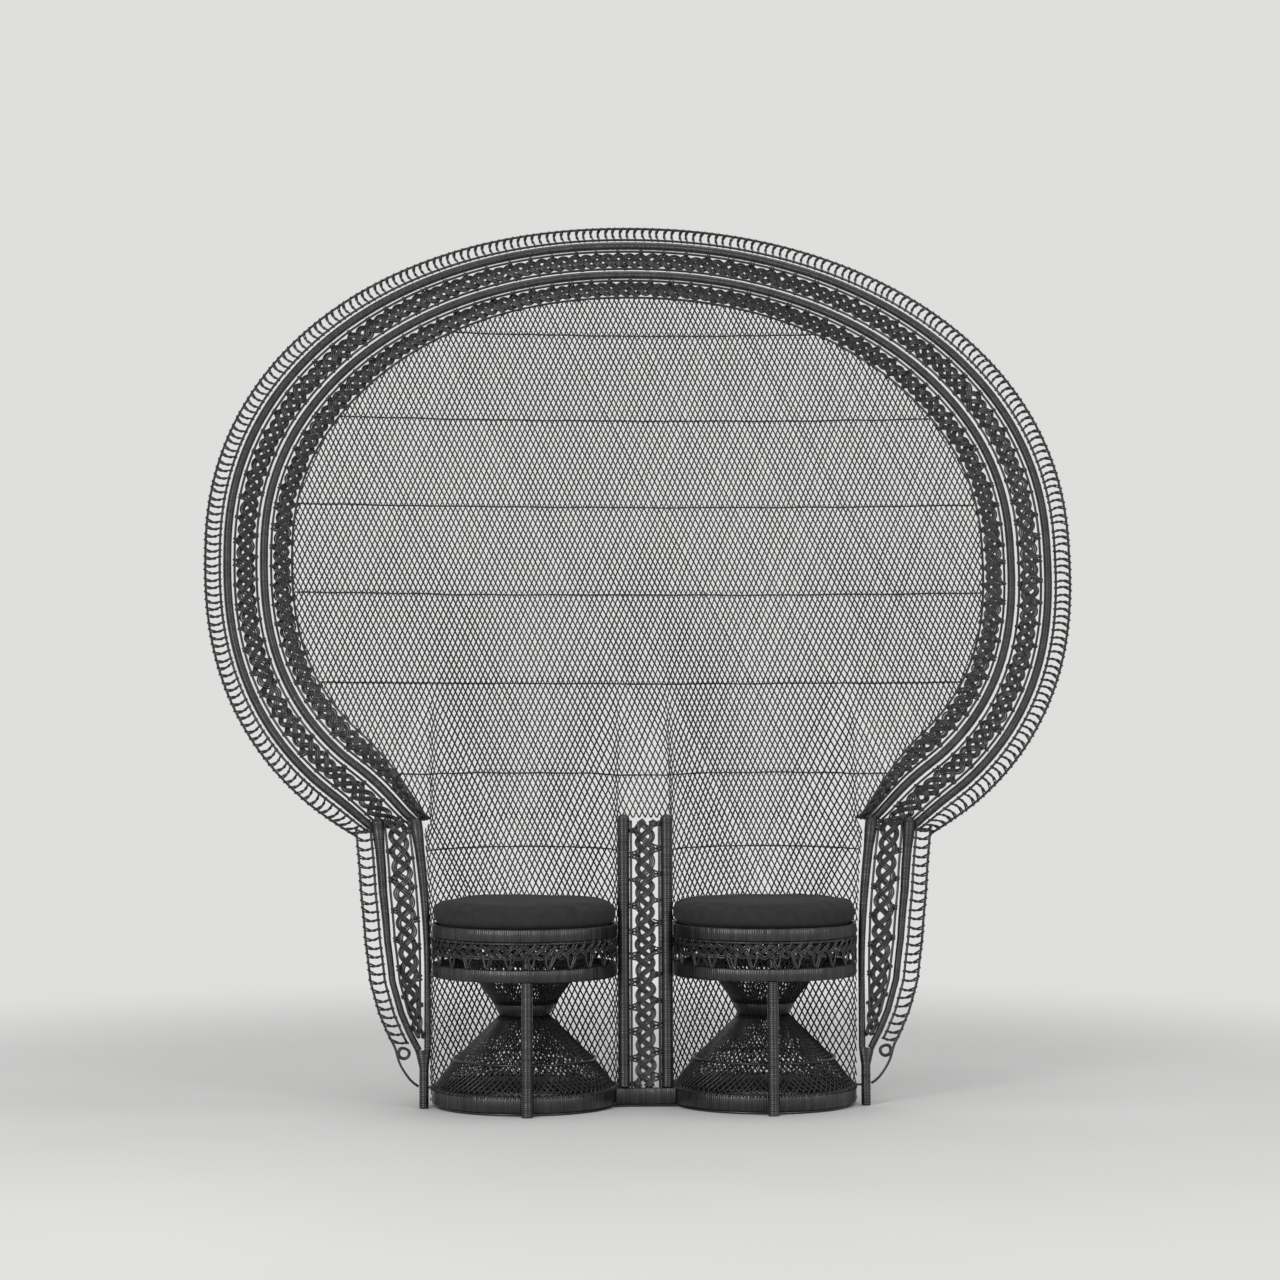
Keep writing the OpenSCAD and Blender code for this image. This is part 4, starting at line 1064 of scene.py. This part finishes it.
for side, suffix in SIDES:
    rng = seeded(80 + side)
    for name, z0, height in (("base_ring", BASE_Z, BASE_H), ("seat_hoop_lower", LOWER_HOOP_Z, HOOP_H),
                             ("seat_hoop_upper", UPPER_HOOP_Z, HOOP_H)):
        line = circle(side, SEAT_R - HOOP_T / 2, z0 + height / 2)
        section = rounded_bar(height, HOOP_T)
        wrapped_pole(name + suffix, line, 0, HOOP_WRAP, rng, UPWARD, bar=section, closed=True)
    for name, radius, z, seed in (("seat_rod", SEAT_R - ROD_R, UPPER_HOOP_Z - ROD_R, 84),
                                  ("knee_hoop", KNEE_D / 2 + 0.64 * ROD_R, KNEE_Z + ROD_R, 86)):
        rods(name + suffix, [circle(side, radius, z, 96)], seed + side, UPWARD, True)

    band_z = LOWER_HOOP_TOP_Z + PLAIT_RISE
    place = seat_place(side, band_z, SEAT_R - WEAVE_T / 2 - 0.0006)
    length = 2 * np.pi * SEAT_R
    strands = Strands()
    plait(strands, place, length, SEAT_PLAIT, rng, SEAT_PLIES, True)
    for inset in (0, LOOP_PLY):
        half = LOOP_HALF_W - inset
        low = inset - PLAIT_RISE
        falling = [(1, -0.004, 0.0006), (0.86, -0.012, 0.0020), (0.45, 0.009 - PLAIT_RISE, 0.0022),
                   (0.2, 0.003 + low - inset / 2, 0.0026)]
        shape = ([(-half * x, v, w) for x, v, w in falling] + [(0, low - 0.0016, 0.0028)]
                 + [(half * x, v, w) for x, v, w in falling[::-1]])
        loops(strands, place, plait_edges(length, SEAT_PLAIT, -1)[::2], shape, rng, 16, jitter=0.0015)
    add_ties(strands, place, length, SEAT_PLAIT, 0.006, UPPER_HOOP_Z - ROD_R - band_z, -0.0002, rng)
    strands.make("seat_braid" + suffix, "plaited_cane")

    deck = Strands()
    deck_r = RING_INNER_R - TOUCH
    for way in (0, 1):
        for k, line in enumerate(np.arange(-deck_r + DECK_STRIP / 2, deck_r, DECK_STRIP)):
            reach = math.sqrt(max(deck_r**2 - line**2, 0)) - 0.001
            if reach < DECK_STRIP:
                continue
            t = np.linspace(-reach, reach, max(4, int(4 * reach / DECK_STRIP)))
            wave = np.cos(np.pi * (t / DECK_STRIP + k + way)) * 0.0012
            flat = [t, line + 0 * t] if way else [line + 0 * t, t]
            points = stacked(side * SEAT_X + flat[0], SEAT_Y + flat[1], DECK_Z + DECK_T / 2 + wave)
            sweep(deck, points[None], UPWARD, DECK_STRIP * 0.45, 0.0011, rng.uniform(0, 1), 4)
    deck.make("seat_deck" + suffix, "woven_strands")

    leg = Strands()
    foot_z = np.linspace(0, LOWER_HOOP_Z - TOUCH, 80)
    stub_z = np.linspace(LOWER_HOOP_TOP_Z + TOUCH, UPPER_HOOP_Z - TOUCH, 20)
    stub_y = SEAT_Y - SEAT_R + max(WEAVE_T, ROD_D) + FIT + LEG_STUB_D / 2
    for z, y, radius in ((foot_z, SEAT_Y - LEG_FOOT_Y + foot_z * math.tan(LEG_TILT), LEG_D / 2),
                         (stub_z, stub_y + 0 * stub_z, LEG_STUB_D / 2)):
        wrapped(leg, stacked(side * SEAT_X, y, z), radius, POST_WRAP, rng, FRONT, slant=0.0)
    leg.make("front_leg" + suffix, "cane_wrap")

    lower = Strands()
    profile = [(BASE_TOP_Z + TOUCH, SEAT_R - HOOP_T / 2), (KNEE_Z, (KNEE_D - CONE_T) / 2),
               (WAIST_Z, (WAIST_D - WAIST_TAPER - CONE_T) / 2)]
    cone_strands(lower, side, profile, *LOWER_CONE, rng, 16)
    ticks = grid(0, length, length / 168)
    shape = [(0, 0.0012, -0.008), (0, 0.0016, -0.003), (0, -0.0004, 0.0008), (0, -0.006, 0.0009)]
    loops(lower, seat_place(side, BASE_TOP_Z, SEAT_R), ticks, shape, rng, 6, CONE_W, 0.0008, 0.0006)
    lower.make("pedestal_lower" + suffix, "woven_strands")

    upper = Strands()
    profile = [(WAIST_TOP_Z, (WAIST_D - CONE_T) / 2), (DECK_Z, RING_INNER_R - 1.5 * CONE_T)]
    cone_strands(upper, side, profile, *UPPER_CONE, rng, 12)
    upper.make("pedestal_upper" + suffix, "woven_strands")

    corners, outward = rounded_bar(WAIST_H, WAIST_T, 0.2)
    slope = WAIST_TAPER / 2 / WAIST_H
    corners = corners + stacked(corners[:, 1] * slope, 0 * corners[:, 1])
    middle_r = (WAIST_D - WAIST_TAPER / 2 - WAIST_T) / 2
    wrapped_pole("waist_ring" + suffix, circle(side, middle_r, WAIST_Z + WAIST_H / 2, 96), 0, HOOP_WRAP, rng,
                 UPWARD, bar=(corners, outward), closed=True)


# Cushions
PAD_R = SEAT_R - CUSHION_INSET
PAD_UNDER = FIT - DECK_DROP + 0.0008
PAD_CAP = 0.0075
SEAM_Z = 0.0085
SEAM_ROUND = 0.0011
VOXEL = 0.0055
PRESSURE = 4
FRAMES = 20


def cushion_form(name, side, shrink):
    """A boxed round cushion before it swells: flat underside, upright side and low top."""
    r, top = PAD_R - shrink, CUSHION_H - 1.5 * shrink
    outline = [(x, PAD_UNDER + shrink / 3) for x in (0.05, 0.1, 0.15, RING_INNER_R - 0.006)]
    outline += [(r - 0.010, FIT + 0.002 + shrink / 3), (r - 0.002, 0.006), (r, 0.013), (r, 0.026),
                (r - 0.001, 0.035), (r - 0.005, top - 0.0085), (r - 0.015, top - 0.0045),
                (0.8 * r, top - 0.0022), (0.5 * r, top - 0.0006)]
    rings = np.array([around(side, x, full_turn(96), SEAT_Z + z) for x, z in outline])
    centre = around(side, 0, 0, SEAT_Z)
    points = np.concatenate([[centre + [0, 0, outline[0][1]]], rings.reshape(-1, 3), [centre + [0, 0, top]]])
    index = 1 + np.arange(rings[..., 0].size).reshape(rings.shape[:2])
    after = np.roll(index, -1, 1)
    faces = stacked(index[:-1], after[:-1], after[1:], index[1:]).reshape(-1, 4).tolist()
    faces += [(0, b, a) for a, b in zip(index[0].tolist(), after[0].tolist())]
    faces += [(len(points) - 1, a, b) for a, b in zip(index[-1].tolist(), after[-1].tolist())]
    mesh = bpy.data.meshes.new("cushion" + name + "_padded")
    mesh.from_pydata(points.tolist(), [], faces)
    return new_object("cushion" + name + "_padded", mesh)


def applied(piece):
    """Puts the result of a piece's modifiers into its mesh."""
    graph = bpy.context.evaluated_depsgraph_get()
    mesh = bpy.data.meshes.new_from_object(piece.evaluated_get(graph))
    piece.modifiers.clear()
    piece.data = mesh


def vertices(piece):
    points = np.empty(len(piece.data.vertices) * 3, np.float32)
    piece.data.vertices.foreach_get("co", points)
    return points.reshape(-1, 3).astype(float)


def swell(piece):
    """Cloth filled from inside; no point moves further than the cap."""
    remesh = piece.modifiers.new("even", "REMESH")
    remesh.mode, remesh.voxel_size = "VOXEL", VOXEL
    applied(piece)
    before = vertices(piece)
    cloth = piece.modifiers.new("cloth", "CLOTH").settings
    cloth.use_pressure, cloth.uniform_pressure_force = True, PRESSURE
    cloth.effector_weights.gravity = 0
    for number in range(1, FRAMES + 1):
        bpy.context.scene.frame_set(number)
    applied(piece)
    bpy.context.scene.frame_set(1)
    moved = vertices(piece) - before
    far = np.linalg.norm(moved, axis=1, keepdims=True)
    return before + moved * np.minimum(1, PAD_CAP / np.maximum(far, 1e-9))


def settled(points, side, rng):
    """Fits a swollen cushion into its seat, flat only below, with soft dents and gathers along its seam."""
    x, y, z = (points - [side * SEAT_X, SEAT_Y, SEAT_Z]).T
    r, turn = np.hypot(x, y), np.arctan2(y, x)
    r = r * (PAD_R + 0.001) / r.max()
    z = np.where(z > 0, z * (CUSHION_H + 0.001) / z.max(), z)
    inner = smooth((RING_INNER_R - 0.001 - r) / 0.008)
    z = np.maximum(z, mix(FIT + 0.0006, PAD_UNDER, inner))
    dents = wander(x + 0.6 * y, 0.62, rng, 4) + wander(y - 0.4 * x + 0.2, 0.55, rng, 4)
    z = z - 0.0011 * dents * smooth((z - 0.03) / 0.015)
    gathers = 0.6 + 0.4 * np.sin(turn * 41 + 2.2 * np.sin(turn * 3 + side))
    r = r - 0.0016 * gathers * np.exp(-((z - SEAM_Z) / 0.0035) ** 2) * (r > 0.9 * PAD_R)
    return around(side, r, turn, SEAT_Z + z)


def add_seam(piece, side):
    """The rolled seam round the foot of the side, laid on the swollen cloth, joined to the cushion's mesh."""
    points = vertices(piece) - [side * SEAT_X, SEAT_Y, SEAT_Z]
    near = points[np.abs(points[:, 2] - SEAM_Z) < 0.004]
    angle, radius = np.arctan2(near[:, 1], near[:, 0]), np.hypot(near[:, 0], near[:, 1])
    turn = full_turn(288, -np.pi)
    gap = np.abs((turn[:, None] - angle + np.pi) % (2 * np.pi) - np.pi)
    weight = np.exp(-(gap / 0.03) ** 2) * (radius > 0.9 * PAD_R)
    r = (weight * radius).sum(1) / weight.sum(1) + 0.0002
    outward = stacked(np.cos(turn), np.sin(turn), 0 * turn)
    seam = Strands()
    ring = around(side, r, turn, SEAT_Z + SEAM_Z)
    sweep(seam, ring[None], outward[None], SEAM_ROUND, SEAM_ROUND, 0.5, 6, closed=True)
    mesh = bmesh.new()
    mesh.from_mesh(piece.data)
    corners = [mesh.verts.new(p) for p in np.concatenate(seam.points).tolist()]
    for face in np.concatenate(seam.faces).tolist():
        mesh.faces.new([corners[i] for i in face])
    mesh.to_mesh(piece.data)
    mesh.free()


for side, name in SIDES:
    cushion = cushion_form(name, side, VOXEL)
    grown = settled(swell(cushion), side, seeded(90 + side))
    cushion.data.vertices.foreach_set("co", grown.astype(np.float32).ravel())
    subdivision = cushion.modifiers.new("round", "SUBSURF")
    subdivision.levels = subdivision.render_levels = 1
    applied(cushion)
    add_seam(cushion, side)
    cushion.data.polygons.foreach_set("use_smooth", np.ones(len(cushion.data.polygons), bool))
    cushion.data.materials.clear()
    cushion.data.materials.append(fabric_material)
    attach(cushion, "cushion" + name)
    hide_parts("cushion" + name)


# Studio: pale floor, soft light and the camera of the photograph
BACKDROP = (0.74, 0.735, 0.73, 1)
FLOOR_FADE = (1.0, 3.4)
WORLD_LIGHT = 0.44
CAMERA_LENS = 92.8
CAMERA_SHIFT = 0.03125
CAMERA_DISTANCE = 7.6
CAMERA_HEIGHT = 0.976
CAMERA_AZIMUTH = math.radians(-3.5)
CAMERA_PAN = math.radians(0.078)


def seen_directly(tree):
    """1 for rays that show a surface to the camera, straight or in a reflection or through glass."""
    rays = tree.nodes.new("ShaderNodeLightPath").outputs
    straight_or_glossy = add_math(tree, "MAXIMUM", rays["Is Camera Ray"], rays["Is Glossy Ray"])
    return add_math(tree, "MAXIMUM", straight_or_glossy, rays["Is Transmission Ray"])


def make_stage():
    """A floor whose far part takes on the backdrop's colour, so that no horizon shows."""
    mesh = bpy.data.meshes.new("floor")
    points = [(30 * math.cos(t), 30 * math.sin(t), 0.0) for t in full_turn(64)]
    mesh.from_pydata(points, [], [tuple(range(len(points)))])
    floor = new_object("floor", mesh)
    material, tree, shader = nodes_of("pale_floor", 0.7)
    colour = ramp(tree, noise(tree, 1.2, 2), (0.3, (0.68, 0.675, 0.67)), (0.7, (0.71, 0.705, 0.70)))
    fill(tree, shader, {"Base Color": colour})
    distance = add_node(tree, "VectorMath", {0: place_on(tree)})
    distance.operation = "LENGTH"
    far = add_node(tree, "MapRange", {"From Min": FLOOR_FADE[0], "From Max": FLOOR_FADE[1],
                                      "Value": distance.outputs["Value"]})
    far.interpolation_type = "SMOOTHERSTEP"
    share = add_math(tree, "MULTIPLY", far.outputs["Result"], seen_directly(tree))
    backdrop = add_node(tree, "Emission", {"Color": BACKDROP})
    both = add_node(tree, "MixShader", {0: share, 1: shader.outputs[0], 2: backdrop.outputs[0]})
    fill(tree, tree.nodes["Material Output"], {"Surface": both.outputs[0]})
    mesh.materials.append(material)
    floor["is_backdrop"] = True


def make_world():
    world = bpy.data.worlds.new("studio")
    world.use_nodes = True
    bpy.context.scene.world = world
    tree = world.node_tree
    light = tree.nodes["Background"]
    fill(tree, light, {"Color": (1, 1, 1, 1), "Strength": WORLD_LIGHT})
    shown = add_node(tree, "Background", {"Color": BACKDROP, "Strength": 1.0})
    both = add_node(tree, "MixShader", {0: seen_directly(tree), 1: light.outputs[0], 2: shown.outputs[0]})
    fill(tree, tree.nodes["World Output"], {"Surface": both.outputs[0]})


def make_lamp(name, place, aim, width, height, watts):
    data = bpy.data.lights.new(name, "AREA")
    data.shape, data.size, data.size_y, data.energy = "RECTANGLE", width, height, watts
    lamp = new_object(name, data)
    lamp.location = place
    x, y, z = (a - b for a, b in zip(aim, place))
    lamp.rotation_euler = (math.atan2(math.hypot(x, y), -z), 0, math.atan2(-x, y))


def make_camera():
    data = bpy.data.cameras.new("camera")
    data.lens, data.sensor_width, data.shift_y = CAMERA_LENS, 36, CAMERA_SHIFT
    camera = new_object("camera", data)
    camera.location = (CAMERA_DISTANCE * math.sin(CAMERA_AZIMUTH),
                       SEAT_Y - CAMERA_DISTANCE * math.cos(CAMERA_AZIMUTH), CAMERA_HEIGHT)
    camera.rotation_euler = (math.radians(90), 0, CAMERA_AZIMUTH + CAMERA_PAN)
    bpy.context.scene.camera = camera


make_stage()
make_world()
make_lamp("key", (-2.9, -4.6, 2.3), (0, 0, 1.0), 1.8, 3.2, 165)
make_lamp("fill", (3.3, -4.2, 2.0), (0, 0, 0.9), 1.4, 2.8, 75)
make_lamp("top", (0.6, 0.8, 4.6), (0, 0, 0.0), 2.4, 2.4, 50)
make_camera()
bpy.context.scene.view_settings.view_transform = "Standard"

low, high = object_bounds()
